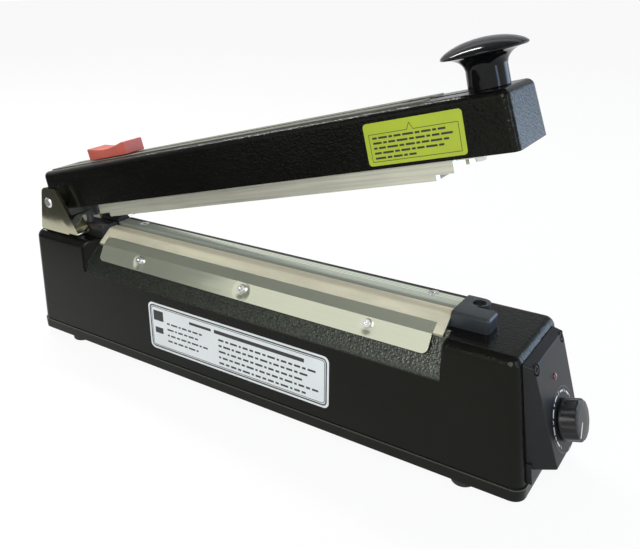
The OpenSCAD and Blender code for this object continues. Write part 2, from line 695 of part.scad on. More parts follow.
// Transformer
module transformer_core() color([0.35, 0.35, 0.36]) translate([tr_x, 0, core_mid]) difference() {
  cube(core, center = true);
  for (sx = [-1, 1]) translate([sx * (leg_w + window[0]) / 2, 0, 0])
    cube([window[0], 2 * core[1], window[1]], center = true);
}

module transformer_coil() color([0.66, 0.42, 0.20]) translate([tr_x, 0, core_mid]) difference() {
  cube([leg_w + 2 * window[0] - 0.4, 2 * coil_y, window[1] - 0.4], center = true);
  cube([leg_w + 0.4, core[1] + 0.4, window[1] + 1], center = true);
}

module transformer_strap() color([0.70, 0.70, 0.69]) translate([tr_x, 0, floor_z]) difference() {
  w = core[0] / 2 + 0.1;
  h = core[2] + 0.2;
  t = 1.4;
  along_y(-10, 10) polygon([
    [-w - 14, seat], [-w, seat], [-w, h], [w, h], [w, seat], [w + 14, seat],
    [w + 14, t], [w + t, t], [w + t, h + t], [-w - t, h + t], [-w - t, t], [-w - 14, t]]);
  for (x = [-40, 40]) translate([x, 0, -1]) cylinder(r = screw_hole_r, h = 5);
}

module strap_screws() color([0.75, 0.75, 0.74])
  for (x = [-40, 40]) translate([tr_x + x, 0, floor_z + 1.4 + seat]) pan_screw(tray_floor + 1.4);

// Switch
module microswitch() color([0.14, 0.14, 0.15]) difference() {
  box([plunger_x - 11, plunger_x + 10], around(plunger_y, 5), [switch_top - 15, switch_top]);
  translate([plunger_x, plunger_y, switch_top - 4]) cylinder(r = 1.6 + run_gap, h = 5);
}

module switch_button() color([0.60, 0.10, 0.08])
  translate([plunger_x, plunger_y, switch_top - 2]) cylinder(r = 1.6, h = button_top - switch_top + 2);

module switch_bracket() color([0.70, 0.70, 0.69]) along_x(plunger_x - 9, plunger_x + 5) {
  y = plunger_y - 5 - seat;
  polygon([
    [y, switch_top - 15], [y, casing_top - wall - 0.2], [y - 7, casing_top - wall - 0.2],
    [y - 7, casing_top - wall - 1.6], [y - 1.4, casing_top - wall - 1.6], [y - 1.4, switch_top - 15]]);
}

module switch_plunger() color([0.20, 0.20, 0.21]) translate([plunger_x, plunger_y, 0]) {
  translate([0, 0, plunger_end]) cylinder(r = plunger_r, h = plunger_top - plunger_end);
  translate([0, 0, plunger_top]) sphere(r = plunger_r);
  translate([0, 0, collar_z - 3]) cylinder(r = collar_r, h = 3);
}

// Point on the back of the timer board, at a place given down and across its face
function board_back(down, y) = let (d = board_z - 3.2) [
  dial_x + down * sin(panel_tilt) + d * cos(panel_tilt), y,
  dial_z - down * cos(panel_tilt) + d * sin(panel_tilt)];

module wiring() color([0.55, 0.10, 0.08]) {
  wire = 1.2;
  hang = casing_top - 16;
  back = coil_y + 1.5;
  run([[tr_x + 12, back, core_mid + 9], [tr_x + 40, back, hang - 4], [right_term_x - 20, 0, hang - 4],
    [right_term_x, ribbon_y, hang]], wire);
  run([[tr_x - 12, back, core_mid + 9], [tr_x - 50, back, hang - 4], [left_term_x + 20, 0, hang - 4],
    [left_term_x, ribbon_y, hang]], wire);
  run([[tr_x + 18, back, core_mid - 5], [tr_x + 80, back, 22], [end_x(34) - 40, 12, 34],
    board_back(8, 12)], wire);
  run([[plunger_x, plunger_y, switch_top - 16], [plunger_x + 28, -27.5, 24], [tr_x + 100, -27.5, 24],
    [end_x(44) - 36, -15, 44], board_back(-3, -9)], wire);
}

module cord_gland() color([0.07, 0.07, 0.07]) at_gland() difference() {
  union() {
    translate([0, 0, -wall - 3]) cylinder(r = gland_r, h = wall + 4);
    translate([0, 0, seat]) cylinder(r = gland_r + 2, h = 1.5);
  }
  translate([0, 0, -20]) cylinder(r = gland_bore, h = 40);
}

// Arm
module arm_form() hull() for (sy = [-1, 1]) {
  top_y = arm_w / 2 - arm_draft - arm_edge;
  for (x = [arm_edge - arm_tail, arm_l - 2 - arm_edge])
    translate([x, sy * top_y, arm_top - arm_edge]) sphere(r = arm_edge, $fn = 32);
  for (x = [4 - arm_tail, arm_l - 4])
    translate([x, sy * (arm_w / 2 - 4), -arm_under]) cylinder(r = 4, h = 0.1, $fn = 32);
}

module arm_casting() color([0.11, 0.12, 0.11]) at_arm() difference() {
  roof = arm_top - arm_roof;
  end_wall = handle_x - 11;
  union() {
    difference() {
      arm_form();
      box([3 - arm_tail, end_wall], [-arm_in, arm_in], [-arm_under - 1, roof]);
      box([-arm_tail - 1, 0], [-arm_in, arm_in], [-arm_under - 1, 10]);
      box([end_wall + end_wall_t, arm_l - 4], [-arm_in, arm_in], [-arm_under - 1, roof - 4]);
    }
    for (x = bar_bolt_xs, y = [front_bolt_y, rear_bolt_y])
      translate([x, y, -arm_under]) cylinder(r = 4.4, h = roof + arm_under + 0.5);
    translate([handle_x, 0, handle_boss]) cylinder(r = 7, h = roof - handle_boss);
    box([21, 27], [coil_half - 1, arm_in + 0.5], [coil_r + wire_r + press_gap, coil_r + 5]);
  }
  box([slot_x1, slot_x2], [-slot_y, slot_y], [0, arm_h]);
  box([track_x1 - 0.1, track_x2 + 0.1], [-track_y - 0.1, track_y + 0.1], [track_z, arm_h]);
  pin_y(pin_r + run_gap, -base_w, base_w);
  translate([handle_x, 0, -arm_h]) cylinder(r = 3 + seat, h = 2 * arm_h);
  for (x = concat(bar_bolt_xs, [plate_bolt_x]), y = [front_bolt_y, rear_bolt_y])
    translate([x, y, -arm_h]) cylinder(r = screw_hole_r, h = arm_h + 2);
}

module cutter_track() color([0.70, 0.70, 0.68]) at_arm() difference() {
  box([track_x1, track_x2], [-track_y, track_y], [track_z + 0.02, track_z + track_t]);
  box([slot_x1, track_x2 + 1], [-slot_y, slot_y], [track_z - 1, arm_h]);
  box([track_x2 - 18, track_x2 - 2], [-slot_y - 3.5, slot_y + 3.5], [track_z - 1, arm_h]);
}

// Hole and counterbore for the bolts that hold a pressure bar to the arm
module bar_bolt_holes(y) for (x = bar_bolt_xs) translate([x, y, 0]) {
  translate([0, 0, -arm_h]) cylinder(r = screw_hole_r, h = arm_h);
  translate([0, 0, bar_low - 1]) cylinder(r = 4, h = 3.6);
}

module front_pressure_bar() color([0.66, 0.66, 0.62]) at_arm() difference() {
  union() {
    box([bar_x1, bar_x2], front_bar_y, [bar_low, bar_up]);
    box(around(bar_mid, pad_half), [front_bar_y[0], lip_y], [-jaw_drop, bar_low + 0.1]);
  }
  bar_bolt_holes(front_bolt_y);
}

module rear_pressure_bar() color([0.66, 0.66, 0.62]) at_arm() difference() {
  box([bar_x1, bar_x2], rear_bar_y, [bar_low, bar_up]);
  bar_bolt_holes(rear_bolt_y);
}

module sealing_pad() color([0.72, 0.70, 0.66]) at_arm()
  box(around(bar_mid, pad_half), [lip_y + 0.1, front_bar_y[1] - 0.4], [-jaw_drop, bar_low - seat]);

module clamping_pad() color([0.20, 0.20, 0.20]) at_arm()
  box(around(bar_mid, pad_half), [rail_front + 1, rail_back - 0.5], [-jaw_drop, bar_low - seat]);

module pressure_bar_screws() color([0.75, 0.75, 0.74]) at_arm() for (y = [front_bolt_y, rear_bolt_y]) {
  for (x = bar_bolt_xs) translate([x, y, bar_low + 2.6 - seat]) mirror([0, 0, 1]) pan_screw(12);
  translate([plate_bolt_x, y, -arm_under - plate_t - seat]) mirror([0, 0, 1]) pan_screw(9);
}

module arm_end_plate() color([0.62, 0.63, 0.62]) at_arm() difference() {
  box([bar_x2 + 1, plate_bolt_x + 4.5], [-16.5, 16.5], [-arm_under - plate_t, -arm_under - seat]);
  for (y = [front_bolt_y, rear_bolt_y]) translate([plate_bolt_x, y, -arm_h])
    cylinder(r = screw_hole_r, h = arm_h);
}

// Plate beside the hinge pin, inside one wall of the arm
module hinge_plate() color([0.74, 0.75, 0.76]) at_arm() difference() {
  foot = -16.2;
  along_y(-arm_in + seat, -arm_in + 2) polygon([
    [-6, 7], [-6, -9], [2, foot], [bar_x1 - 3, foot],
    [bar_x1 - 0.5, foot + 2.5], [bar_x1 - 0.5, 7]]);
  pin_y(pin_r + run_gap, -base_w, base_w);
}

module front_hinge_plate() hinge_plate();

module rear_hinge_plate() mirror([0, 1, 0]) hinge_plate();

module switch_striker() color([0.88, 0.84, 0.66]) at_arm()
  box([striker_x1, striker_x1 + striker_l], [-arm_in + 2 + seat, plunger_y + 4.5], [-striker_drop, -4]);

// Round wire: a leg down to the bracket's web, the coil round the pin, and a leg along the arm
spring_path = concat(
  [[180, -coil_half, -leg_down, 0], [180, -coil_half, -leg_down / 2, 0]],
  [for (i = [0:coil_steps]) [180 - coil_sweep * i / coil_steps, coil_half * (2 * i / coil_steps - 1), 0, 0]],
  [[180 - coil_sweep, coil_half, 0, leg_along / 2], [180 - coil_sweep, coil_half, 0, leg_along]]);

module return_spring() color([0.60, 0.60, 0.60]) translate([hinge_x, 0, hinge_z]) polyhedron(
  points = [for (s = spring_path, k = [0:tube_sides - 1])
    let (r = coil_r + wire_r * cos(k * 360 / tube_sides), y = s[1] + wire_r * sin(k * 360 / tube_sides))
    [r * cos(s[0]) + s[3] * cos(open_angle), y, r * sin(s[0]) + s[2] + s[3] * sin(open_angle)]],
  faces = tube_faces(len(spring_path)));

// Handle
cap_r = cap_d / 2;
stem_r = stem_d / 2;
flare = [cap_r - 1, rim_h - 1.3];
module handle_knob() color([0.07, 0.07, 0.08]) at_arm() translate([handle_x, 0, arm_top + seat]) difference() {
  rotate_extrude($fn = 64) polygon(concat(
    [[0, 0], [stem_r, 0]],
    [for (t = [0:15:90]) [stem_r + (flare[0] - stem_r) * (1 - cos(t)), stem_h + (flare[1] - stem_h) * sin(t)]],
    [for (t = [0:15:90]) [cap_r * cos(t), rim_h + dome_h * sin(t)]]));
  translate([0, 0, -1]) cylinder(r = 3 + 0.02, h = rim_h + 1);
}

module handle_screw() color([0.80, 0.80, 0.79]) at_arm() translate([handle_x, 0, handle_boss - seat])
  mirror([0, 0, 1]) difference() {
  union() {
    cylinder(r1 = 5.4, r2 = 4.2, h = 3);
    mirror([0, 0, 1]) cylinder(r = 3, h = arm_top - handle_boss + rim_h - 2);
  }
  for (a = [0, 90]) rotate([0, 0, a]) translate([0, 0, 3]) cube([6, 1.2, 3], center = true);
}

// Cutter
// Side outline of the slider: a thumb saddle between two raised ends
module cutter_slider() color([0.78, 0.22, 0.18]) at_arm() along_y(-slider_y, slider_y) polygon(concat(
  [[slider_x1, slider_z], [slider_x1, slider_z + slider_h]],
  [for (t = [0:12]) [slider_x1 + 2 + (slider_l - 8) * t / 12,
    slider_z + slider_h - (slider_h - saddle_h) * sin(t * 15)]],
  [[slider_x1 + slider_l - 4, slider_z + slider_h + 0.4], [slider_x1 + slider_l, slider_z + slider_h + 0.4],
    [slider_x1 + slider_l, slider_z]]));

module cutter_carriage() color([0.15, 0.15, 0.15]) at_arm() difference() {
  union() {
    box(around(carriage_x, 12), around(groove_y, carriage_y), carriage_z);
    box(around(carriage_x, 9), [-neck_y, neck_y], [carriage_z[1] - 0.1, slider_z - seat]);
  }
  box(around(carriage_x, 8.1), around(groove_y, 1.65), [carriage_z[0] - 1, carriage_z[0] + 8]);
}

module blade_holder() color([0.68, 0.68, 0.67]) at_arm() difference() {
  box(around(carriage_x, 8), around(groove_y, 1.6), [-12, carriage_z[0] + 7.9]);
  box(around(carriage_x, 9), around(groove_y, blade_t / 2 + 0.02), [-13, -1]);
}

module cutter_blade() color([0.82, 0.83, 0.84]) at_arm()
  along_y(groove_y - blade_t / 2, groove_y + blade_t / 2) polygon([
    [carriage_x - 7, -1.1], [carriage_x - 7, -15], [carriage_x, blade_tip],
    [carriage_x + 7, -15], [carriage_x + 7, -1.1]]);

bottom_tray();
rubber_feet();
foot_screws();
base_casing();
casing_screws();
jaw_bar();
jaw_bar_screws();
insulating_strip();
heating_ribbon();
ptfe_cover();
clamp_strip();
clamp_strip_screws();
cutting_rail();
rail_screws();
right_end_block();
left_end_block();
end_block_screws();
right_terminal();
left_terminal();
hinge_bracket();
bracket_screws();
hinge_pin();
hinge_washers();
control_panel();
panel_screws();
indicator_lens();
timer_potentiometer();
timer_nut();
timer_board();
board_parts();
transformer_core();
transformer_coil();
transformer_strap();
strap_screws();
microswitch();
switch_bracket();
wiring();
cord_gland();
arm_casting();
cutter_track();
front_pressure_bar();
rear_pressure_bar();
sealing_pad();
clamping_pad();
pressure_bar_screws();
arm_end_plate();
front_hinge_plate();
rear_hinge_plate();
switch_striker();
return_spring();
handle_knob();
handle_screw();
cutter_slider();
cutter_carriage();
blade_holder();
cutter_blade();
timer_knob();
timer_shaft();
switch_plunger();
switch_button();
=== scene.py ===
import json
import math

import bmesh
import bpy
from mathutils import Matrix, Vector

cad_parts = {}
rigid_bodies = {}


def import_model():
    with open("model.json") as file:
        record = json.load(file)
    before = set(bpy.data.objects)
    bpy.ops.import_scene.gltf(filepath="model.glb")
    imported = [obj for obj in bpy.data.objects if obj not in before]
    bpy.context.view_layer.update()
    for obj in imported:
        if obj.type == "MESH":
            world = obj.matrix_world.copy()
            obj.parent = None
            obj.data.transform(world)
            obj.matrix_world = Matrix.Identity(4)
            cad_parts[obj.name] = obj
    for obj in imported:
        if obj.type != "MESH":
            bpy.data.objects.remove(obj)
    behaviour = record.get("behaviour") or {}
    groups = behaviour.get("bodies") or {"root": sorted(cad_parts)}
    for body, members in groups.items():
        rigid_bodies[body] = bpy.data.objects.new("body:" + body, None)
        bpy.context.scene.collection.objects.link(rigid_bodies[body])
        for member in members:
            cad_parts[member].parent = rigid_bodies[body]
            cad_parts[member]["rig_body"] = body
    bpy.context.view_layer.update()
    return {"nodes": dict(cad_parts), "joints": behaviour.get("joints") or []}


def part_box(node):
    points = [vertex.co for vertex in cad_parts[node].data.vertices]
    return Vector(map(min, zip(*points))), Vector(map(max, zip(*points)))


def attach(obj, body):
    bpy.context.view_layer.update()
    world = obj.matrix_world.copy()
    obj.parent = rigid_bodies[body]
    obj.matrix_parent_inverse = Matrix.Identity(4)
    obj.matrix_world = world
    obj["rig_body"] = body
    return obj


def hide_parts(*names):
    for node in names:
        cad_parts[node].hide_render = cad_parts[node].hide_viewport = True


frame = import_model()

bl_info = {
    "name": "Heat sealer with cutter",
    "version": (1, 0, 0),
    "blender": (4, 5, 0),
    "location": "3D View > Sidebar > Sealer",
    "description": "Finishes for a counter-top heat sealer, with its turned, folded and printed pieces",
    "category": "Object",
}

# Frames that the pieces are made in: along the arm, and on the panel's face at the dial

JOINTS = {joint["name"]: joint for joint in frame["joints"]}
ACROSS = Vector((0, 1, 0))
ALONG = Vector(JOINTS["cutter_slide"]["axis"]).normalized()
OUT = -Vector(JOINTS["timer_turn"]["axis"]).normalized()
ARM_PITCH = math.asin(ALONG.z)


def axes(origin, x, y, z):
    """Matrix of a frame with this origin and these axes."""
    made = Matrix((x, y, z)).transposed().to_4x4()
    made.translation = origin
    return made


def cad_face(node, point, way):
    """Place and normal of the first face of a CAD node that lies that way from a point."""
    hit, place, normal, _ = frame["nodes"][node].ray_cast(point, way)
    if not hit:
        raise RuntimeError(f"no face of {node} lies that way from {tuple(point)}")
    return place, normal


def on_front(node, point, along):
    """Frame on the front of a CAD node, straight behind a point: Z out of it, X along the given way."""
    place, normal = cad_face(node, point, ACROSS)
    x = (along - normal * along.dot(normal)).normalized()
    return axes(place, x, normal.cross(x), normal)


def beside(at, face, reach=2e-5):
    """Whether a point lies in the plane of a face."""
    return abs((at - face[0]).dot(face[1])) < reach


ARM = axes(Vector(JOINTS["arm_hinge"]["pos_m"]), ALONG, ACROSS, ALONG.cross(ACROSS))
FACE = axes(Vector(JOINTS["timer_turn"]["pos_m"]), ACROSS.cross(OUT), ACROSS, OUT)
WORLD = Matrix.Identity(4)
HINGE = ARM.translation
BASE_LABEL = on_front("base_casing", Vector((-0.0103, -0.2, 0.0440)), Vector((1, 0, 0)))
ARM_LABEL = on_front("arm_casting", ARM @ Vector((0.3444, -0.2, 0.0060)), ALONG)
RECESS = cad_face("base_casing", Vector((0.12, -0.2, 0.085)), ACROSS)
RECESS_ENDS = [cad_face("base_casing", Vector((0.0, -0.031, 0.088)), Vector((way, 0, 0))) for way in (-1, 1)]


# Shader maths


def sum_of(operation, reflected=False):
    """A method that sums a value with another value or a number."""
    def combine(self, other):
        pair = (other, self) if reflected else (self, other)
        return self.finish.node("ShaderNodeMath", {"operation": operation}, dict(enumerate(pair)))
    return combine


class Value:
    """A socket that takes part in sums: each sum adds a Math node to its material."""

    def __init__(self, finish, socket):
        self.finish = finish
        self.socket = socket

    __add__, __radd__ = sum_of("ADD"), sum_of("ADD", True)
    __sub__, __rsub__ = sum_of("SUBTRACT"), sum_of("SUBTRACT", True)
    __mul__, __rmul__ = sum_of("MULTIPLY"), sum_of("MULTIPLY", True)
    least, most = sum_of("MINIMUM"), sum_of("MAXIMUM")

    def sine(self):
        return self.finish.node("ShaderNodeMath", {"operation": "SINE"}, {0: self})

    def away(self, place):
        """Distance of a value from a place."""
        return self.finish.node("ShaderNodeMath", {"operation": "ABSOLUTE"}, {0: self - place})

    def fade(self, low, high):
        """0 below low, 1 above high and smooth between them."""
        settings = {"interpolation_type": "SMOOTHSTEP"}
        return self.finish.node("ShaderNodeMapRange", settings, {"Value": self, "From Min": low, "From Max": high})


class Finish:
    """One material or world in the making: its nodes, and the shader that they feed."""

    def __init__(self, owner):
        self.owner = owner
        owner.use_nodes = True
        self.tree = owner.node_tree
        self.tree.nodes.clear()

    def node(self, kind, settings=None, sockets=None, out=0):
        """Adds a node, gives it its settings first, then feeds its sockets, and returns one output."""
        made = self.tree.nodes.new(kind)
        for key, setting in (settings or {}).items():
            setattr(made, key, setting)
        for key, value in (sockets or {}).items():
            self.feed(made.inputs[key], value)
        return Value(self, made.outputs[out]) if made.outputs else None

    def feed(self, socket, value):
        if isinstance(value, Value):
            self.tree.links.new(value.socket, socket)
        else:
            socket.default_value = value

    def place(self, scale=(1, 1, 1), turn=0.0):
        """Object coordinates, turned about Y and stretched."""
        at = self.node("ShaderNodeTexCoord", out="Object")
        if turn == 0.0 and scale == (1, 1, 1):
            return at
        return self.node("ShaderNodeMapping", {"vector_type": "TEXTURE"}, {
            "Vector": at, "Rotation": (0, -turn, 0), "Scale": tuple(1 / s for s in scale)})

    def xyz(self, at):
        split = self.node("ShaderNodeSeparateXYZ", sockets={"Vector": at})
        outputs = split.socket.node.outputs
        return tuple(Value(self, outputs[i]) for i in range(3))

    def noise(self, at, scale, detail=2.0, roughness=0.5):
        sockets = {"Vector": at, "Scale": scale, "Detail": detail, "Roughness": roughness}
        return self.node("ShaderNodeTexNoise", sockets=sockets, out="Fac")

    def cells(self, at, scale):
        sockets = {"Vector": at, "Scale": scale, "Smoothness": 0.6}
        return self.node("ShaderNodeTexVoronoi", {"feature": "SMOOTH_F1"}, sockets, out="Distance")

    def mix(self, amount, first, second):
        """One colour passing into another."""
        return self.node("ShaderNodeMix", {"data_type": "RGBA"}, {0: amount, 6: first, 7: second}, out=2)

    def bump(self, height, depth):
        return self.node("ShaderNodeBump", sockets={"Height": height, "Distance": depth, "Strength": 1.0})

    def skin(self, **sockets):
        """A shader; the names of its sockets are written with underscores."""
        named = {key.replace("_", " ").replace("Ior", "IOR"): value for key, value in sockets.items()}
        return self.node("ShaderNodeBsdfPrincipled", sockets=named)

    def close(self, surface):
        self.node("ShaderNodeOutputMaterial", sockets={"Surface": surface})
        return self.owner

    def shade(self, **sockets):
        """Closes the material with one shader."""
        return self.close(self.skin(**sockets))


def paint(name):
    return Finish(bpy.data.materials.new(name))


def rgba(colour):
    return (*colour[:3], 1.0)


def tint(colour, amount):
    """A colour made lighter or darker."""
    return tuple(min(1.0, c * amount) for c in colour[:3]) + (1.0,)


# Finishes


def powder_coat(name, colour, grain, depth, gloss, sheen=0.15, painted_light=None):
    """Baked powder paint: an orange peel of small pillows and scuffs, and where a mask says, a glossier layer whose
    lighter colour is painted light.
    """
    f = paint(name)
    at = f.place()
    pillows = f.cells(at, grain)
    peel = f.noise(at, grain * 0.6, 3.0)
    dust = f.noise(at, 28.0, 4.0, 0.6)
    scuff = f.noise(f.place((1.0, 3.0, 6.0)), 60.0, 6.0, 0.7).fade(0.68, 0.76)
    base = f.mix(dust.fade(0.35, 0.8), rgba(colour), tint(colour, 1.6))
    height = pillows * 0.7 + peel * 0.9
    even = f.skin(
        Base_Color=f.mix(scuff * 0.4, base, tint(colour, 3.0)),
        Roughness=gloss + (peel - 0.5) * 0.2 + scuff * 0.12,
        Specular_Ior_Level=sheen,
        Specular_Tint=(1.0, 1.0, 0.84, 1.0),
        Normal=f.bump(height, depth))
    if not painted_light:
        return f.close(even)
    # Painted light: this layer's lighter grey-green colour stands in for light on it; its gloss and deeper bump are
    # the paint's own.
    gloss_and_painted_light = f.skin(
        Base_Color=f.mix(pillows.fade(0.2, 0.7), (0.040, 0.053, 0.033, 1.0), (0.008, 0.011, 0.006, 1.0)),
        Roughness=0.30 + (peel - 0.5) * 0.12,
        Specular_Ior_Level=0.6,
        Normal=f.bump(height, depth * 2.2))
    return f.close(f.node("ShaderNodeMixShader", sockets={0: painted_light(f, at), 1: even, 2: gloss_and_painted_light}))


def lip_painted_light(f, at):
    """Share of painted light: a painted highlight all along the tray's upper lip, none elsewhere."""
    top = max(corner[2] for corner in frame["nodes"]["bottom_tray"].bound_box)
    # Painted highlight: a thin lighter line along the lip.
    return f.xyz(at)[2].fade(top - 0.0010, top - 0.0005)


def recess_painted_light(f, at):
    """Share of painted light: the casing's sloped recess is painted lighter, more so towards the panel, and nothing
    elsewhere.
    """
    place, normal = RECESS
    x, y, z = f.xyz(at)
    middle = (RECESS_ENDS[0][0].x + RECESS_ENDS[1][0].x) / 2
    half = (RECESS_ENDS[1][0].x - RECESS_ENDS[0][0].x) / 2
    slope = 1.0 - ((y - place.y) * normal.y + (z - place.z) * normal.z).away(0.0).fade(0.0005, 0.0014)
    # Painted light grows towards the panel.
    painted_light_to_panel = 0.35 + x.fade(middle - half, middle + half) * 0.65
    return slope * (1.0 - x.away(middle).fade(half - 0.0005, half + 0.0012)) * painted_light_to_panel


def drawn_metal(name, colour, rough, turn=0.0, contrast=0.25, marks=0.0):
    """Drawn or rolled metal: fine streaks along its length, dull patches and light handling marks."""
    f = paint(name)
    streaks = f.noise(f.place((0.012, 1, 1), turn), 900.0, 4.0, 0.65)
    patches = f.noise(f.place(turn=turn), 45.0, 3.0)
    nicks = f.noise(f.place((0.25, 1, 1), turn), 240.0, 5.0, 0.75).fade(0.68, 0.78)
    base = f.mix(streaks.fade(0.3, 0.75), tint(colour, 1.0 - contrast), tint(colour, 1.0 + contrast * 0.35))
    return f.shade(
        Base_Color=f.mix(nicks * marks, base, tint(colour, 0.55)),
        Metallic=1.0,
        Roughness=rough + (streaks - 0.5) * 0.16 + (patches - 0.5) * 0.12,
        Normal=f.bump(streaks + nicks * marks, 2e-5))


def ribbed_metal(name, colour, rib_y, pitch, back_y):
    """Satin extrusion: a plain darker front, fine ribs with painted shade in their grooves, and a blackened back
    edge.
    """
    f = paint(name)
    _, y, _ = f.xyz(f.place())
    streaks = f.noise(f.place((0.012, 1, 1)), 900.0, 4.0, 0.65)
    nicks = f.noise(f.place((0.25, 1, 1)), 240.0, 5.0, 0.75).fade(0.68, 0.78)
    ribbed = y.fade(rib_y - 0.0004, rib_y + 0.0002)
    # Painted shade: dark lines in the grooves between the ribs.
    groove_shade = ((y - rib_y - pitch / 4) * (2 * math.pi / pitch)).sine().fade(-0.1, 0.7) * ribbed
    base = f.mix(ribbed, tint(colour, 0.62), rgba(colour))
    groove_shaded = f.mix(groove_shade * 0.9, base, tint(colour, 0.34))
    rubbed = f.mix(nicks * 0.3 + streaks * 0.25, groove_shaded, tint(colour, 0.7))
    black = y.fade(back_y - 0.0029, back_y - 0.0025)
    return f.shade(
        Base_Color=f.mix(black, rubbed, (0.006, 0.006, 0.006, 1.0)),
        Metallic=0.12 - black * 0.12,
        Roughness=0.66 + (streaks - 0.5) * 0.16,
        Specular_Ior_Level=0.25,
        Normal=f.bump(streaks + nicks * 0.3, 2e-5))


def bright_plate(name, colour, rough):
    """Bright plating over pressed steel: slight waves, faint rubbing and a few dull specks."""
    f = paint(name)
    at = f.place()
    waves = f.noise(at, 70.0, 1.0)
    rubbing = f.noise(f.place((0.4, 1.0, 2.5)), 520.0, 5.0, 0.7)
    specks = f.noise(at, 900.0, 2.0).fade(0.72, 0.78)
    return f.shade(
        Base_Color=f.mix(specks * 0.5, rgba(colour), tint(colour, 0.55)),
        Metallic=1.0,
        Roughness=rough + (rubbing - 0.5) * 0.1 + specks * 0.15,
        Normal=f.bump(waves + rubbing * 0.02, 8e-5))


def strip_polish(name, colour, screws, radius):
    """Polished strip drawn in round each of its screws, with a fine lengthwise grain."""
    f = paint(name)
    at = f.place()
    pulled = None
    for screw in screws:
        reach = f.node("ShaderNodeVectorMath", {"operation": "DISTANCE"}, {0: at, 1: tuple(screw)}, out="Value")
        pulled = reach if pulled is None else pulled.least(reach)
    dimple = pulled.fade(0.0, radius)
    grain = f.noise(f.place((0.01, 1, 1)), 1400.0, 3.0)
    waves = f.noise(f.place((0.35, 1, 1)), 60.0, 1.0)
    return f.shade(
        Base_Color=f.mix(grain.fade(0.3, 0.7), tint(colour, 0.97), rgba(colour)),
        Metallic=1.0,
        Roughness=0.15 + (grain - 0.5) * 0.05 + (waves - 0.5) * 0.06,
        Normal=f.bump(dimple + waves * 0.5 + grain * 0.0015, 7e-4))


def moulded(name, colour, rough, grain=2600.0, depth=1.2e-5, sheen=0.5, turn=0.0):
    """Moulded plastic: a fine spark grain, slow changes of tone and faint rub marks."""
    f = paint(name)
    at = f.place(turn=turn)
    spark = f.noise(at, grain, 2.0)
    flow = f.noise(at, 40.0, 3.0)
    rub = f.noise(f.place((0.3, 1, 1), turn), 420.0, 5.0, 0.7).fade(0.6, 0.75)
    base = f.mix(flow.fade(0.3, 0.7), tint(colour, 0.9), tint(colour, 1.1))
    return f.shade(
        Base_Color=f.mix(rub * 0.25, base, tint(colour, 1.35)),
        Roughness=rough + (flow - 0.5) * 0.12 + rub * 0.08,
        Specular_Ior_Level=sheen,
        Normal=f.bump(spark + flow * 0.6, depth))


def cloth_cover(name, colour, band_y, band):
    """Coated glass cloth: a fine plain weave, browner where the ribbon under it gets hot."""
    f = paint(name)
    at = f.place()
    x, y, z = f.xyz(at)
    warp = (x * 11000.0).sine()
    weft = ((y - z * 0.76) * 11000.0).sine()
    weave = warp * weft
    blotch = f.noise(f.place((0.2, 1, 1)), 90.0, 4.0, 0.6)
    heat = 1.0 - y.away(band_y).fade(band * 0.4, band * 2.2)
    base = f.mix(blotch.fade(0.25, 0.8), tint(colour, 0.82), tint(colour, 1.12))
    warm = f.mix(heat * (0.25 + blotch * 0.4), base, (colour[0] * 0.74, colour[1] * 0.62, colour[2] * 0.45, 1.0))
    return f.shade(
        Base_Color=f.mix((weave + 1.0) * 0.09, warm, tint(colour, 0.6)),
        Roughness=0.36 + (blotch - 0.5) * 0.2,
        Specular_Ior_Level=0.45,
        Normal=f.bump(weave * 0.06 + f.noise(f.place((0.3, 1, 1)), 150.0, 2.0), 1.6e-4))


def printed(name, colour, rough=0.35):
    """Printed film or ink: almost even, with a faint mottle and a satin skin."""
    f = paint(name)
    at = f.place()
    mottle = f.noise(at, 700.0, 3.0)
    wash = f.noise(at, 25.0, 3.0)
    base = f.mix(wash.fade(0.3, 0.75), tint(colour, 0.94), tint(colour, 1.03))
    return f.shade(
        Base_Color=f.mix(mottle * 0.12, base, tint(colour, 0.8)),
        Roughness=rough + (mottle - 0.5) * 0.12,
        Normal=f.bump(wash + mottle * 0.1, 6e-5))


def layered(name, colour, pitch, rough, metal):
    """Stacked sheets or wound wire: lines at a steady pitch across Y, each a little different."""
    f = paint(name)
    at = f.place()
    _, y, _ = f.xyz(at)
    lines = (y * (2 * math.pi / pitch)).sine()
    uneven = f.noise(f.place((0.1, 1, 0.1)), 1 / pitch * 0.6, 3.0)
    base = f.mix(uneven.fade(0.3, 0.7), tint(colour, 0.75), tint(colour, 1.2))
    return f.shade(
        Base_Color=f.mix((lines + 1.0) * 0.25, base, tint(colour, 0.5)),
        Metallic=metal,
        Roughness=rough + (uneven - 0.5) * 0.2,
        Normal=f.bump(lines, 6e-5))


def rubber(name, colour):
    """Black rubber: matt, with a bloom and fine mould texture."""
    f = paint(name)
    at = f.place()
    bloom = f.noise(at, 120.0, 4.0, 0.6)
    skin = f.noise(at, 1500.0, 2.0)
    return f.shade(
        Base_Color=f.mix(bloom.fade(0.45, 0.8), rgba(colour), tint(colour, 1.9)),
        Roughness=0.62 + (skin - 0.5) * 0.15,
        Specular_Ior_Level=0.3,
        Normal=f.bump(skin, 3e-5))


def lens(name, colour):
    """Small coloured lens: deep red, clear skin, a darker heart."""
    f = paint(name)
    at = f.place()
    depth = f.noise(at, 600.0, 2.0)
    return f.shade(
        Base_Color=f.mix(depth, rgba(colour), tint(colour, 0.5)),
        Roughness=0.12 + (depth - 0.5) * 0.06,
        Coat_Weight=0.6,
        Normal=f.bump(depth, 1e-5))


# Sizes and colours that a user would change


def a_colour(name, description, default):
    return bpy.props.FloatVectorProperty(
        name=name, description=description, default=default, size=3, min=0.0, max=1.0, subtype="COLOR")


def a_length(name, description, default):
    return bpy.props.FloatProperty(
        name=name, description=description, default=default, min=0.0, precision=5, unit="LENGTH", subtype="DISTANCE")


def an_angle(name, description, degrees):
    return bpy.props.FloatProperty(
        name=name, description=description, default=math.radians(degrees), subtype="ANGLE")


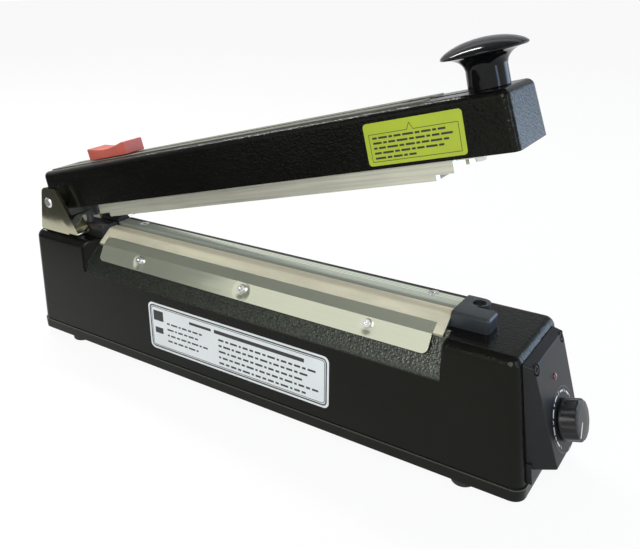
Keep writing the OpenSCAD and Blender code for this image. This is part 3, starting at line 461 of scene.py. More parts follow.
class SealerColours(bpy.types.PropertyGroup):
    """Colours of the finishes, as they are under plain light."""

    coat: a_colour("Coat", "Powder coat of the casing and the arm", (0.0028, 0.0029, 0.0025))
    tray: a_colour("Tray", "Paint of the bottom tray", (0.0042, 0.0043, 0.0040))
    chrome: a_colour("Chrome", "Bright plate of the hinge bracket", (0.42, 0.405, 0.29))
    strip: a_colour("Strip", "Polished strip that clamps the cover", (0.63, 0.655, 0.51))
    aluminium: a_colour("Aluminium", "Rails and pressure bars", (0.60, 0.605, 0.50))
    steel: a_colour("Steel", "Plated screws and pins", (0.66, 0.66, 0.65))
    cover: a_colour("Cover", "Cloth over the heating ribbon", (0.67, 0.635, 0.48))
    slider: a_colour("Slider", "Thumb slider of the cutter", (0.52, 0.113, 0.083))
    handle: a_colour("Handle", "Palm handle", (0.0035, 0.0035, 0.004))
    block: a_colour("Block", "Right end block", (0.015, 0.020, 0.024))
    panel: a_colour("Panel", "Control panel", (0.0105, 0.0110, 0.0130))
    knob: a_colour("Knob", "Timer knob", (0.007, 0.007, 0.007))
    plain_label: a_colour("Plain label", "Label on the base", (0.68, 0.715, 0.725))
    bright_label: a_colour("Bright label", "Label on the arm", (0.355, 0.435, 0.029))
    ink: a_colour("Ink", "Printed lines on the labels", (0.016, 0.017, 0.018))
    marks: a_colour("Marks", "Printed marks round the dial", (0.74, 0.74, 0.72))


class SealerSizes(bpy.types.PropertyGroup):
    """Sizes of the edges and the printed and moulded pieces."""

    edge: a_length("Edge", "Rounding of the small edges", 0.0003)
    cast_edge: a_length("Cast edge", "Rounding of the casing's recess", 0.0022)
    strip_corner: a_length("Strip corner", "Radius of the clamp strip's lower corners", 0.004)
    block_corner: a_length("Block corner", "Radius of the end block's upright corners", 0.0024)
    dial_r: a_length("Dial radius", "Radius of the ring of marks", 0.0174)
    digit_h: a_length("Digit height", "Height of the numbers on the dial", 0.0024)
    label_w: a_length("Base label width", "Width of the label on the base", 0.171)
    label_h: a_length("Base label height", "Height of the label on the base", 0.040)
    tag_w: a_length("Arm label width", "Width of the label on the arm", 0.0627)
    tag_h: a_length("Arm label height", "Height of the label on the arm", 0.0248)
    film: a_length("Film", "Thickness of the labels", 0.00012)


class SealerStage(bpy.types.PropertyGroup):
    """Camera and light."""

    eye: bpy.props.FloatVectorProperty(
        name="Eye", description="Place of the camera", default=(0.30768, -0.3815, 0.3097), size=3,
        subtype="TRANSLATION", unit="LENGTH")
    azimuth: an_angle("Azimuth", "Turn of the camera round the sealer", 34.44)
    elevation: an_angle("Elevation", "Height of the camera", 23.86)
    roll: an_angle("Roll", "Roll of the camera", -1.63)
    lens: bpy.props.FloatProperty(
        name="Lens", description="Focal length on a 36 mm sensor, in millimetres", default=40.55, min=1.0)
    floor: a_colour("Floor", "Colour of the floor", (0.80, 0.80, 0.79))
    fill: bpy.props.FloatProperty(name="Fill", description="Strength of the even light", default=0.38, min=0.0)


def colours():
    return bpy.context.scene.sealer_colours


def sizes():
    return bpy.context.scene.sealer_sizes


# Handwork: what each step in edit mode needs


def only(obj):
    """Leaves just this object selected and active, in object mode."""
    active = bpy.context.view_layer.objects.active
    if active and active.mode != "OBJECT":
        bpy.ops.object.mode_set(mode="OBJECT")
    for other in bpy.context.view_layer.objects:
        other.select_set(False)
    bpy.context.view_layer.objects.active = obj
    if obj:
        obj.select_set(True)
    return obj


def start(add, **size):
    """Adds a primitive at the origin and opens it for editing, all of it selected."""
    only(None)
    add(location=(0, 0, 0), **size)
    obj = bpy.context.object
    bpy.ops.object.mode_set(mode="EDIT")
    pick_all()
    return obj


def pick_all():
    bpy.ops.mesh.select_all(action="SELECT")


def pick(obj, test, kind="VERT"):
    """Selects in edit mode the vertices, edges or faces that pass a test of place and direction."""
    if obj.mode != "EDIT":
        only(obj)
        bpy.ops.object.mode_set(mode="EDIT")
    bpy.ops.mesh.select_mode(type=kind)
    bpy.ops.mesh.select_all(action="DESELECT")
    mesh = bmesh.from_edit_mesh(obj.data)
    found = [item for item, at, way in measured(mesh, kind) if test(at, way)]
    if not found:
        raise RuntimeError(f"nothing of {obj.name} passes the test")
    for item in found:
        item.select_set(True)
    if kind == "VERT":
        mesh.select_flush(True)
    else:
        mesh.select_flush_mode()
    bmesh.update_edit_mesh(obj.data)


def measured(mesh, kind):
    """Each vertex, edge or face with its place and its normal, or for an edge its run."""
    if kind == "VERT":
        return [(vert, vert.co, vert.normal) for vert in mesh.verts]
    if kind == "FACE":
        return [(face, face.calc_center_median(), face.normal) for face in mesh.faces]
    ends = [(edge, *(vert.co for vert in edge.verts)) for edge in mesh.edges]
    return [(edge, (first + second) / 2, second - first) for edge, first, second in ends]


def move(x=0.0, y=0.0, z=0.0):
    bpy.ops.transform.translate(value=(x, y, z))


def stretch(x, y, z, about=(0, 0, 0)):
    bpy.ops.transform.resize(value=(x, y, z), center_override=about)


def pull(x=0.0, y=0.0, z=0.0):
    bpy.ops.mesh.extrude_region_move(TRANSFORM_OT_translate={"value": (x, y, z)})


def modify(obj, kind, **settings):
    """Adds a modifier and applies it."""
    only(obj)
    modifier = obj.modifiers.new(kind.lower(), kind)
    for key, setting in settings.items():
        setattr(modifier, key, setting)
    bpy.ops.object.modifier_apply(modifier=modifier.name)


def round_edges(obj, width, segments=2, angle=35.0):
    modify(obj, "BEVEL", width=width, segments=segments, limit_method="ANGLE", angle_limit=math.radians(angle))


def face_out(obj):
    only(obj)
    bpy.ops.object.mode_set(mode="EDIT")
    pick_all()
    bpy.ops.mesh.normals_make_consistent(inside=False)
    bpy.ops.object.mode_set(mode="OBJECT")


def put_at(obj, frame_at):
    """Moves an object into a frame and writes that into its mesh."""
    only(obj)
    obj.matrix_world = frame_at
    bpy.ops.object.transform_apply(location=True, rotation=True, scale=True)


def settle(obj, name, frame_at, body, finish, stands_for=(), smooth=35.0):
    """Closes a piece: its place goes into its mesh, and it gets its finish and the body that it rides on."""
    obj.name = obj.data.name = name
    put_at(obj, frame_at)
    bpy.ops.object.shade_smooth_by_angle(angle=math.radians(smooth))
    if finish:
        obj.data.materials.clear()
        obj.data.materials.append(finish)
    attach(obj, body)
    if stands_for:
        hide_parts(*stands_for)
    return obj


def copied(obj, frame_at):
    """A copy with its own mesh, moved into a frame."""
    only(obj)
    bpy.ops.object.duplicate()
    made = bpy.context.object
    put_at(made, frame_at)
    return made


def joined(pieces):
    """Joins like pieces into the first of them."""
    only(pieces[0])
    for piece in pieces:
        piece.select_set(True)
    bpy.ops.object.join()
    return pieces[0]


def turned(profile, sides=96):
    """A closed turned form about Z through steps of radius and height."""
    radius, height = profile[0]
    obj = start(bpy.ops.mesh.primitive_circle_add, vertices=sides, radius=radius, fill_type="NGON")
    move(z=height)
    for next_radius, next_height in profile[1:]:
        pull(z=next_height - height)
        ratio = next_radius / radius
        stretch(ratio, ratio, 1, (0, 0, next_height))
        radius, height = next_radius, next_height
    return obj


def plate(width, height, thickness, corner):
    """A thin plate about the origin, on Z = 0, with rounded corners."""
    obj = start(bpy.ops.mesh.primitive_cube_add, size=1.0)
    stretch(width, height, thickness)
    move(z=thickness / 2)
    pick(obj, lambda at, way: abs(way.z) > 0.9 * thickness and way.xy.length < 1e-9, "EDGE")
    bpy.ops.mesh.bevel(offset=corner, segments=6, affect="EDGES")
    return obj


def dressed(node, finish, edge=None, segments=2, rounds=(), smooth=35.0):
    """A copy of a CAD node with its triangles joined into faces and its edges rounded, in the node's stead."""
    source = frame["nodes"][node]
    obj = bpy.data.objects.new(node + "_finished", source.data.copy())
    bpy.context.scene.collection.objects.link(obj)
    only(obj)
    bpy.ops.mesh.customdata_custom_splitnormals_clear()
    bpy.ops.object.mode_set(mode="EDIT")
    pick_all()
    bpy.ops.mesh.remove_doubles(threshold=2e-6)
    bpy.ops.mesh.dissolve_limited(angle_limit=math.radians(0.5))
    for test, radius, steps in rounds:
        pick(obj, test, "EDGE")
        bpy.ops.mesh.bevel(offset=radius, segments=steps, affect="EDGES", clamp_overlap=True)
    bpy.ops.object.mode_set(mode="OBJECT")
    width = sizes().edge if edge is None else edge
    if width:
        round_edges(obj, width, segments)
    settle(obj, obj.name, WORLD, source["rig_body"], finish, (node,), smooth)
    modify(obj, "WEIGHTED_NORMAL", keep_sharp=True)
    return obj


def coated(nodes, finish):
    """Gives CAD nodes whose shape is right a finish."""
    for node in nodes:
        obj = frame["nodes"][node]
        obj.data.materials.clear()
        obj.data.materials.append(finish)


class SEALER_OT_castings(bpy.types.Operator):
    """Casing, arm and tray in textured powder coat"""

    bl_idname = "sealer.castings"
    bl_label = "Castings"

    def execute(self, context):
        c, s = colours(), sizes()
        casing = powder_coat("casing_coat", c.coat, 720.0, 2.0e-4, 0.19, painted_light=recess_painted_light)
        arm = powder_coat("arm_coat", c.coat, 720.0, 2.0e-4, 0.19)
        tray = powder_coat("tray_paint", c.tray, 1500.0, 4e-5, 0.36, painted_light=lip_painted_light)
        dressed("base_casing", casing, 0.0, rounds=((self.recess_edge, s.cast_edge, 4),))
        dressed("arm_casting", arm, 0.0)
        dressed("bottom_tray", tray, 0.0006)
        return {"FINISHED"}

    @staticmethod
    def recess_edge(at, way):
        """The recess's lower edge, and the edges of its two ends that stand free of the slope."""
        if beside(at, RECESS, 5e-4):
            return way.length > 0.2 and at.z < 0.08
        return at.z > 0.07 and any(beside(at, end) and abs(way.dot(end[1])) < 2e-5 for end in RECESS_ENDS)


class SEALER_OT_hinge(bpy.types.Operator):
    """Plated bracket with its pin, washers, hinge plates, spring and switch striker"""

    bl_idname = "sealer.hinge"
    bl_label = "Hinge"

    def execute(self, context):
        c = colours()
        plating = bright_plate("bracket_plate", c.chrome, 0.08)
        pin = bright_plate("pin_plate", c.steel, 0.25)
        nylon = moulded("natural_nylon", (0.62, 0.56, 0.38), 0.45, turn=ARM_PITCH)
        # Painted reflection: the hinge plates are coloured dark blue-grey for the dark reflection they show under the
        # arm.
        painted_reflection_plate = bright_plate("hinge_plate", (0.075, 0.090, 0.115), 0.24)
        dressed("hinge_bracket", plating, 0.0008, 3)
        for node in ("front_hinge_plate", "rear_hinge_plate"):
            dressed(node, painted_reflection_plate)
        dressed("hinge_pin", pin, 0.0003)
        dressed("hinge_washers", nylon)
        dressed("switch_striker", nylon, 0.0006)
        self.spring(drawn_metal("spring_wire", c.steel, 0.32, contrast=0.4))
        return {"FINISHED"}

    def spring(self, finish):
        """The torsion spring: a coil about the hinge, one leg down the bracket and one along the arm."""
        wire, coil, half, sweep = 0.0009, 0.0065, 0.009, math.radians(2236.15)
        obj = start(bpy.ops.mesh.primitive_circle_add, vertices=12, radius=wire, fill_type="NOTHING")
        move(x=-coil, y=-half)
        modify(obj, "SCREW", axis="Y", angle=sweep, screw_offset=2 * half, steps=220, render_steps=220)
        last = Vector((coil * math.cos(math.pi - sweep), half, coil * math.sin(math.pi - sweep)))
        for middle, leg in ((Vector((-coil, -half, 0)), Vector((0, 0, -0.02425))), (last, ALONG * 0.025)):
            pick(obj, lambda at, way, middle=middle, leg=leg: (
                (at - middle).length < 1.1 * wire and abs((at - middle).dot(leg.normalized())) < 1e-5))
            pull(*leg)
        pick_all()
        bpy.ops.mesh.fill_holes(sides=0)
        face_out(obj)
        settle(obj, "torsion_spring", Matrix.Translation(HINGE), "arm", finish,
               ("return_spring",), 60.0)


class SEALER_OT_jaw(bpy.types.Operator):
    """Sealing jaw: bar, ribbon, cloth cover, clamp strip and the ribbed rail"""

    bl_idname = "sealer.jaw"
    bl_label = "Sealing jaw"

    def execute(self, context):
        c, s = colours(), sizes()
        coated(["jaw_bar"], drawn_metal("jaw_aluminium", c.aluminium, 0.38))
        coated(["insulating_strip"], moulded("insulation", (0.5, 0.4, 0.22), 0.6))
        coated(["heating_ribbon"], drawn_metal("ribbon_alloy", (0.42, 0.40, 0.37), 0.3))
        self.cover(c)
        self.strip(c, s)
        first_rib, pitch, back = 0.0074, 0.00208, 0.0178
        rail = ribbed_metal("ribbed_rail", (0.50, 0.54, 0.46), first_rib, pitch, back)
        dressed("cutting_rail", rail, 0.00008, 1, smooth=20.0)
        return {"FINISHED"}

    def cover(self, c):
        """The cloth, bent over the jaw's two edges and down under the clamp strip."""
        low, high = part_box("ptfe_cover")
        half, ridge_y, hem, bend = 0.0001, -0.0106, 0.0060, 0.0009
        rows = [(high.y - half, high.z - hem), (high.y - half, high.z - half),
                (ridge_y + 0.5 * half, high.z - half), (low.y + half, low.z + half)]
        wide = high.x - low.x
        obj = start(bpy.ops.mesh.primitive_grid_add, x_subdivisions=80, y_subdivisions=3, size=2.0)
        stretch(wide / 2, 1, 1)
        move(x=(low.x + high.x) / 2)
        for i, (y, z) in enumerate(rows):
            was = 1 - 2 * i / 3
            pick(obj, lambda at, way, was=was: abs(at.y - was) < 0.01 and abs(at.z) < 1e-6)
            move(y=y - was, z=z)
        for y, z in rows[1:3]:
            pick(obj, lambda at, way, y=y, z=z: (
                abs(at.y - y) < 1e-5 and abs(at.z - z) < 1e-5 and abs(way.x) > 1e-4), "EDGE")
            bpy.ops.mesh.bevel(offset=bend, segments=4, affect="EDGES")
        face_out(obj)
        modify(obj, "SOLIDIFY", thickness=2 * half, offset=0.0)
        finish = cloth_cover("cloth_cover", c.cover, -0.0065, 0.0026)
        settle(obj, "cloth_cover", WORLD, "base", finish, ("ptfe_cover",))

    def strip(self, c, s):
        """The folded strip, with round lower corners and a pressed dimple at each screw."""
        low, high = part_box("clamp_strip")
        screws = screw_places()
        if len(screws) != 3:
            raise RuntimeError("the clamp strip has three screws")
        finish = strip_polish("polished_strip", c.strip, screws, 0.0085)
        corner = (lambda at, way: (at.z < low.z + 0.0012 and way.length < 0.0012
                                   and min(at.x - low.x, high.x - at.x) < 1e-5), s.strip_corner, 6)
        dressed("clamp_strip", finish, 0.00025, 2, (corner,), smooth=16.0)


def screw_places():
    """Middles of the clamp strip's screw heads, from the CAD node's separate solids."""
    verts = [vert.co for vert in frame["nodes"]["clamp_strip_screws"].data.vertices]
    xs = sorted(vert.x for vert in verts)
    groups = [[xs[0]]]
    for x in xs[1:]:
        if x - groups[-1][-1] > 0.02:
            groups.append([])
        groups[-1].append(x)
    places = []
    for group in groups:
        solid = [vert for vert in verts if group[0] - 1e-6 <= vert.x <= group[-1] + 1e-6]
        front = sorted(solid, key=lambda vert: vert.y)[: max(1, len(solid) // 4)]
        places.append(sum(front, Vector()) / len(front))
    return places


class SEALER_OT_end_blocks(bpy.types.Operator):
    """Moulded blocks at the ends of the jaw, and the brass posts in them"""

    bl_idname = "sealer.end_blocks"
    bl_label = "End blocks"

    def execute(self, context):
        c, s = colours(), sizes()
        low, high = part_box("right_end_block")
        slate = moulded("slate_block", c.block, 0.40, depth=2.5e-5)
        end = (lambda at, way: at.x > high.x - 1e-5 and at.z > low.z + 1e-4, s.block_corner, 5)
        dressed("right_end_block", slate, 0.0005, 3, (end,))
        dressed("left_end_block", moulded("black_block", tint(c.knob, 0.9), 0.48), 0.0004)
        brass = drawn_metal("terminal_brass", (0.55, 0.40, 0.16), 0.3)
        coated(["right_terminal", "left_terminal"], brass)
        return {"FINISHED"}


class SEALER_OT_arm_bars(bpy.types.Operator):
    """Pressure bars, pads, end plate and the cutter's track on the arm"""

    bl_idname = "sealer.arm_bars"
    bl_label = "Arm bars"

    def execute(self, context):
        c = colours()
        bar = drawn_metal("pressure_bar", tint(c.aluminium, 1.2), 0.42, ARM_PITCH, contrast=0.16, marks=0.25)
        for node in ("front_pressure_bar", "rear_pressure_bar", "arm_end_plate"):
            dressed(node, bar, 0.00035)
        track = drawn_metal("track_aluminium", tint(c.aluminium, 0.32), 0.5, ARM_PITCH, marks=0.5)
        dressed("cutter_track", track, 0.0002)
        coated(["sealing_pad"], rubber("silicone_pad", (0.36, 0.33, 0.29)))
        coated(["clamping_pad"], rubber("clamping_rubber", (0.035, 0.035, 0.036)))
        return {"FINISHED"}


class SEALER_OT_handle(bpy.types.Operator):
    """Turned palm handle in gloss black"""

    bl_idname = "sealer.handle"
    bl_label = "Handle"

    def execute(self, context):
        c = colours()
        foot, stem, rim, top, stem_r, cap_r = handle_sizes()
        chamfer, flare, brim = 0.0004, cap_r - 0.0008 - stem_r, rim - 0.0009 - stem
        profile = [(stem_r - chamfer, foot), (stem_r, foot + chamfer), (stem_r, foot + 0.004), (stem_r * 0.985, stem)]
        for i in range(1, 13):
            turn = math.radians(7.5 * i)
            profile.append((stem_r + flare * (1 - math.cos(turn)), stem + brim * math.sin(turn)))
        profile.append((cap_r - 0.0002, rim - 0.0005))
        for i in range(23):
            turn = math.radians(4 * i)
            profile.append((cap_r * math.cos(turn), rim + (top - rim) * math.sin(turn) ** 1.32))
        obj = turned(profile, 112)
        face_out(obj)
        gloss = moulded("handle_gloss", c.handle, 0.11, 1800.0, 4e-6, 0.22, ARM_PITCH)
        low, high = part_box("handle_knob")
        middle = ARM.inverted() @ ((low + high) / 2)
        settle(obj, "palm_handle", ARM @ Matrix.Translation((middle.x, 0, 0)), "arm", gloss,
               ("handle_knob",))
        return {"FINISHED"}


def handle_sizes():
    """Heights up the arm and radii of the handle, from the CAD node in the arm's own frame."""
    back = ARM.inverted()
    points = [back @ vert.co for vert in frame["nodes"]["handle_knob"].data.vertices]
    middle = (min(p.x for p in points) + max(p.x for p in points)) / 2
    reach = sorted((math.hypot(p.x - middle, p.y), p.z) for p in points)
    cap_r = reach[-1][0]
    foot = min(z for _, z in reach)
    top = max(z for _, z in reach)
    edge = [z for r, z in reach if r > cap_r - 1e-5]
    rim = sum(edge) / len(edge)
    stem_r = max(r for r, z in reach if z < foot + 1e-4)
    stem = max(z for r, z in reach if abs(r - stem_r) < 1e-4 and z < rim)
    return foot, stem, rim, top, stem_r, cap_r


class SEALER_OT_cutter(bpy.types.Operator):
    """Red thumb slider, carriage, blade holder and blade"""

    bl_idname = "sealer.cutter"
    bl_label = "Cutter"

    def execute(self, context):
        c = colours()
        red = moulded("slider_red", c.slider, 0.42, 2200.0, 2.2e-5, 0.4, ARM_PITCH)
        dressed("cutter_slider", red, 0.0007, 3, smooth=30.0)
        dressed("cutter_carriage", moulded("carriage_plastic", (0.02, 0.02, 0.021), 0.5, turn=ARM_PITCH), 0.0004)
        dressed("blade_holder", drawn_metal("holder_steel", c.steel, 0.33, ARM_PITCH))
        coated(["cutter_blade"], drawn_metal("blade_steel", (0.68, 0.69, 0.70), 0.2, ARM_PITCH, contrast=0.3))
        return {"FINISHED"}


class SEALER_OT_panel(bpy.types.Operator):
    """Control panel with its lens, the ring of marks and the numbers"""

    bl_idname = "sealer.panel"
    bl_label = "Control panel"

    def execute(self, context):
        c, s = colours(), sizes()
        dressed("control_panel", powder_coat("panel_skin", c.panel, 2600.0, 2.2e-5, 0.42, 0.18), 0.0003)
        coated(["indicator_lens"], lens("lens_red", (0.16, 0.008, 0.012)))
        white = printed("dial_marks", c.marks, 0.45)
        grey = printed("dial_ring", tint(c.panel, 0.6), 0.3)
        first, step, half_dash = map(math.radians, (-135, 33.75, 8.5))
        marks = [self.dash(s.dial_r, first + step / 2, half_dash, 0.0006, s.film)]
        marks += [copied(marks[0], Matrix.Rotation(-step * i, 4, "Z")) for i in range(1, 8)]
        marks += [self.digit(str(i + 1), s, first + step * i) for i in range(9)]
        settle(joined(marks), "dial_marks", FACE, "base", white)
        settle(self.ring(s.dial_r + 0.0027, 0.00035, s.film), "dial_ring", FACE, "base", grey)
        return {"FINISHED"}

    def dash(self, radius, turn, half, half_width, film):
        """One curved dash of the ring; a turn of 0 is at the top of the face."""
        steps = 6
        obj = start(bpy.ops.mesh.primitive_grid_add, x_subdivisions=steps, y_subdivisions=1, size=2.0)
        for i in range(steps + 1):
            was = -1 + 2 * i / steps
            around = turn + half * was
            for side in (-1, 1):
                r = radius + side * half_width
                pick(obj, lambda at, way, was=was, side=side: (
                    abs(at.x - was) < 1e-4 and abs(at.y - side) < 1e-4 and abs(at.z) < 1e-6))
                move(x=-r * math.cos(around) - was, y=r * math.sin(around) - side, z=film * 0.5)
        pick_all()
        pull(z=film * 0.5)
        face_out(obj)
        return obj

    def digit(self, text, s, turn):
        """One number of the dial, upright on the face."""
        only(None)
        bpy.ops.object.text_add(location=(0, 0, 0))
        obj = bpy.context.object
        obj.data.body = text
        obj.data.align_x = "CENTER"
        obj.data.align_y = "CENTER"
        obj.data.size = s.digit_h * 1.35
        obj.data.extrude = s.film * 0.4
        obj.data.resolution_u = 3
        only(obj)
        bpy.ops.object.convert(target="MESH")
        obj = bpy.context.object
        at = Vector((-s.dial_r * math.cos(turn), s.dial_r * math.sin(turn), s.film * 0.6))
        put_at(obj, Matrix.Translation(at) @ Matrix.Rotation(math.radians(90), 4, "Z"))
        return obj

    def ring(self, radius, half_width, film):
        """The thin line round the marks."""
        obj = start(bpy.ops.mesh.primitive_circle_add, vertices=96, radius=radius - half_width, fill_type="NOTHING")
        move(z=film * 0.4)
        bpy.ops.mesh.extrude_edges_move()
        ratio = (radius + half_width) / (radius - half_width)
        stretch(ratio, ratio, 1)
        pick_all()
        pull(z=film * 0.4)
        face_out(obj)
        return obj


class SEALER_OT_knob(bpy.types.Operator):
    """Timer knob with shallow scallops and a white pointer line"""

    bl_idname = "sealer.knob"
    bl_label = "Timer knob"

    def execute(self, context):
        c, s = colours(), sizes()
        back = FACE.inverted()
        points = [back @ vert.co for vert in frame["nodes"]["timer_knob"].data.vertices]
        foot = min(p.z for p in points)
        top = max(p.z for p in points)
        radius = max(math.hypot(p.x, p.y) for p in points)
        profile = [(radius - 0.0003, foot), (radius, foot + 0.0003), (radius, foot + 0.0016),
                   (radius - 0.0001, foot + 0.0018), (radius - 0.0002, top - 0.0011), (radius - 0.0005, top - 0.0004),
                   (radius - 0.0011, top), (radius * 0.5, top), (0.0005, top)]
        flutes, steps = 12, 8
        obj = turned(profile, flutes * steps)
        for step, ratio in ((2, 0.985), (3, 0.968), (4, 0.962), (5, 0.968), (6, 0.985)):
            pick(obj, lambda at, way, step=step: (
                at.z > foot + 0.0017 and at.z < top - 0.0003
                and round(math.degrees(math.atan2(at.y, at.x)) / (360 / flutes / steps)) % steps == step))
            stretch(ratio, ratio, 1)
        face_out(obj)
        round_edges(obj, 0.00015, 1, 50.0)
        black = moulded("knob_black", c.knob, 0.34, 2400.0, 1.5e-5, 0.28)
        settle(obj, "timer_knob_turned", FACE, "timer", black, ("timer_knob",), 40.0)
        line = plate(radius * 0.74, 0.0013, s.film, 0.0003)
        pick_all()
        move(x=radius * 0.48, z=top - s.film * 0.3)
        turn = Matrix.Rotation(math.radians(-49), 4, "Z")
        settle(line, "knob_pointer", FACE @ turn, "timer", printed("pointer_white", c.marks, 0.4))
        coated(["timer_shaft"], drawn_metal("shaft_steel", c.steel, 0.3))
        return {"FINISHED"}


class SEALER_OT_labels(bpy.types.Operator):
    """Two film labels with printed frames and plain bars"""

    bl_idname = "sealer.labels"
    bl_label = "Labels"

    def execute(self, context):
        c, s = colours(), sizes()
        ink = printed("label_ink", c.ink, 0.4)
        base = plate(s.label_w, s.label_h, s.film, 0.0045)
        settle(base, "base_label", BASE_LABEL, "base", printed("plain_label", c.plain_label))
        prints = [self.border(s.label_w - 0.0032, s.label_h - 0.0032, 0.0011, 0.0036, s.film),
                  self.border(s.label_w - 0.0066, s.label_h - 0.0066, 0.0005, 0.0024, s.film)]
        prints += self.bars(self.base_rows(), s.film)
        settle(joined(prints), "base_label_print", BASE_LABEL, "base", ink)
        tag = plate(s.tag_w, s.tag_h, s.film, 0.0022)
        settle(tag, "arm_label", ARM_LABEL, "arm", printed("bright_label", c.bright_label))
        prints = self.bars(self.arm_frame(s) + self.arm_rows(), s.film) + self.arrow(s)
        settle(joined(prints), "arm_label_print", ARM_LABEL, "arm", ink)
        return {"FINISHED"}

    def border(self, width, height, line, corner, film):
        """A printed frame line with rounded corners."""
        obj = plate(width, height, film * 0.3, corner)
        pick(obj, lambda at, way: abs(way.z) > 0.9, "FACE")
        bpy.ops.mesh.inset(thickness=line)
        bpy.ops.mesh.delete(type="FACE")
        bpy.ops.mesh.select_mode(type="EDGE")
        bpy.ops.mesh.select_all(action="DESELECT")
        bpy.ops.mesh.select_non_manifold()
        bpy.ops.mesh.bridge_edge_loops()
        pick_all()
        move(z=film * 0.9)
        face_out(obj)
        return obj

    def bars(self, rows, film):
        """Thin printed bars, each given by its middle, width and height."""
        made = []
        for x, y, width, height in rows:
            obj = start(bpy.ops.mesh.primitive_plane_add, size=1.0)
            stretch(width, height, 1)
            move(x, y, film * 0.9)
            pull(z=film * 0.3)
            face_out(obj)
            made.append(obj)
        return made

    def run(self, left, y, right, height, lengths, gap):
        """A row of bars from left to right, in a repeating list of lengths."""
        rows, x, i = [], left, 0
        while x + lengths[i % len(lengths)] <= right:
            width = lengths[i % len(lengths)]
            rows.append((x + width / 2, y, width, height))
            x += width + gap
            i += 1
        return rows

    def base_rows(self):
        rows = [(0.024, 0.0117, 0.082, 0.0030), (-0.0310, 0.0117, 0.022, 0.0022)]
        lengths = (0.0052, 0.0030, 0.0067, 0.0021, 0.0048, 0.0034)
        for i in range(5):
            shift = lengths[i:] + lengths[:i]
            rows += self.run(-0.0130, 0.0058 - 0.0048 * i, 0.0780 - 0.0070 * (i % 3), 0.0016, shift, 0.0016)
        for i in range(4):
            shift = lengths[i + 1:] + lengths[:i + 1]
            rows += self.run(-0.0660, 0.0050 - 0.0050 * i, -0.0230 - 0.0060 * (i % 2), 0.0014, shift, 0.0014)
        rows += [(-0.0750, 0.0095, 0.0105, 0.0085), (-0.0750, -0.0030, 0.0085, 0.0050)]
        return rows

    def arm_rows(self):
        rows = []
        lengths = (0.0031, 0.0058, 0.0024, 0.0046, 0.0070)
        for i in range(5):
            shift = lengths[i:] + lengths[:i]
            right = 0.0262 - (0.0, 0.0, 0.0015, 0.004, 0.023)[i]
            rows += self.run(-0.0262, 0.0035 - 0.0029 * i, right, 0.0012, shift, 0.0010)
        return rows

    def arm_frame(self, s):
        """The frame line of the arm's label, open under its point."""
        line, half_w, top, foot, gap = 0.00035, s.tag_w / 2 - 0.003, 0.0058, -0.0101, 0.0019
        middle, tall, side = (top + foot) / 2, top - foot, half_w - gap
        shift = 0.0005
        return [(0, foot, 2 * half_w, line), (-half_w, middle, line, tall), (half_w, middle, line, tall),
                (-half_w + side / 2 - shift, top, side - 2 * shift, line),
                (half_w - side / 2 - shift, top, side + 2 * shift, line)]

    def arrow(self, s):
        """The small point in the frame's upper line."""
        made = []
        for side in (-1, 1):
            stroke, = self.bars([(0, 0, 0.00035, 0.0042)], s.film)
            lean = Matrix.Rotation(side * math.radians(27), 4, "Z")
            put_at(stroke, Matrix.Translation((side * 0.0010 - 0.001, 0.0077, 0)) @ lean)
            made.append(stroke)
        return made


class SEALER_OT_screws(bpy.types.Operator):
    """Screws, feet and the cord inlet"""

    bl_idname = "sealer.screws"
    bl_label = "Screws and feet"

    def execute(self, context):
        c = colours()
        zinc = bright_plate("screw_zinc", c.steel, 0.26)
        black = moulded("screw_black", (0.006, 0.006, 0.0065), 0.5, sheen=0.2)
        for node in ("foot_screws", "casing_screws", "jaw_bar_screws", "clamp_strip_screws", "rail_screws",
                     "bracket_screws", "strap_screws", "pressure_bar_screws", "handle_screw"):
            dressed(node, zinc, 0.0002)
        for node in ("end_block_screws", "panel_screws"):
            dressed(node, black, 0.0002)
        feet = rubber("foot_rubber", (0.014, 0.014, 0.014))
        dressed("rubber_feet", feet, 0.0004)
        dressed("cord_gland", feet, 0.0005)
        return {"FINISHED"}


class SEALER_OT_insides(bpy.types.Operator):
    """Transformer, timer board, switch and wiring inside the base"""

    bl_idname = "sealer.insides"
    bl_label = "Insides"

    def execute(self, context):
        coated(["transformer_core"], layered("core_laminations", (0.10, 0.10, 0.105), 0.0010, 0.5, 0.7))
        coated(["transformer_coil"], layered("coil_winding", (0.34, 0.15, 0.05), 0.0008, 0.35, 0.6))
        pressed = drawn_metal("pressed_steel", (0.5, 0.5, 0.5), 0.35)
        coated(["transformer_strap", "switch_bracket", "timer_potentiometer", "timer_nut"], pressed)
        coated(["timer_board"], moulded("board_laminate", (0.02, 0.12, 0.06), 0.35))
        dark = moulded("switch_plastic", (0.025, 0.025, 0.027), 0.45)
        coated(["board_parts", "microswitch", "switch_plunger"], dark)
        coated(["switch_button"], moulded("button_red", (0.4, 0.03, 0.02), 0.4))
        coated(["wiring"], moulded("wire_insulation", (0.36, 0.03, 0.02), 0.4))
        return {"FINISHED"}


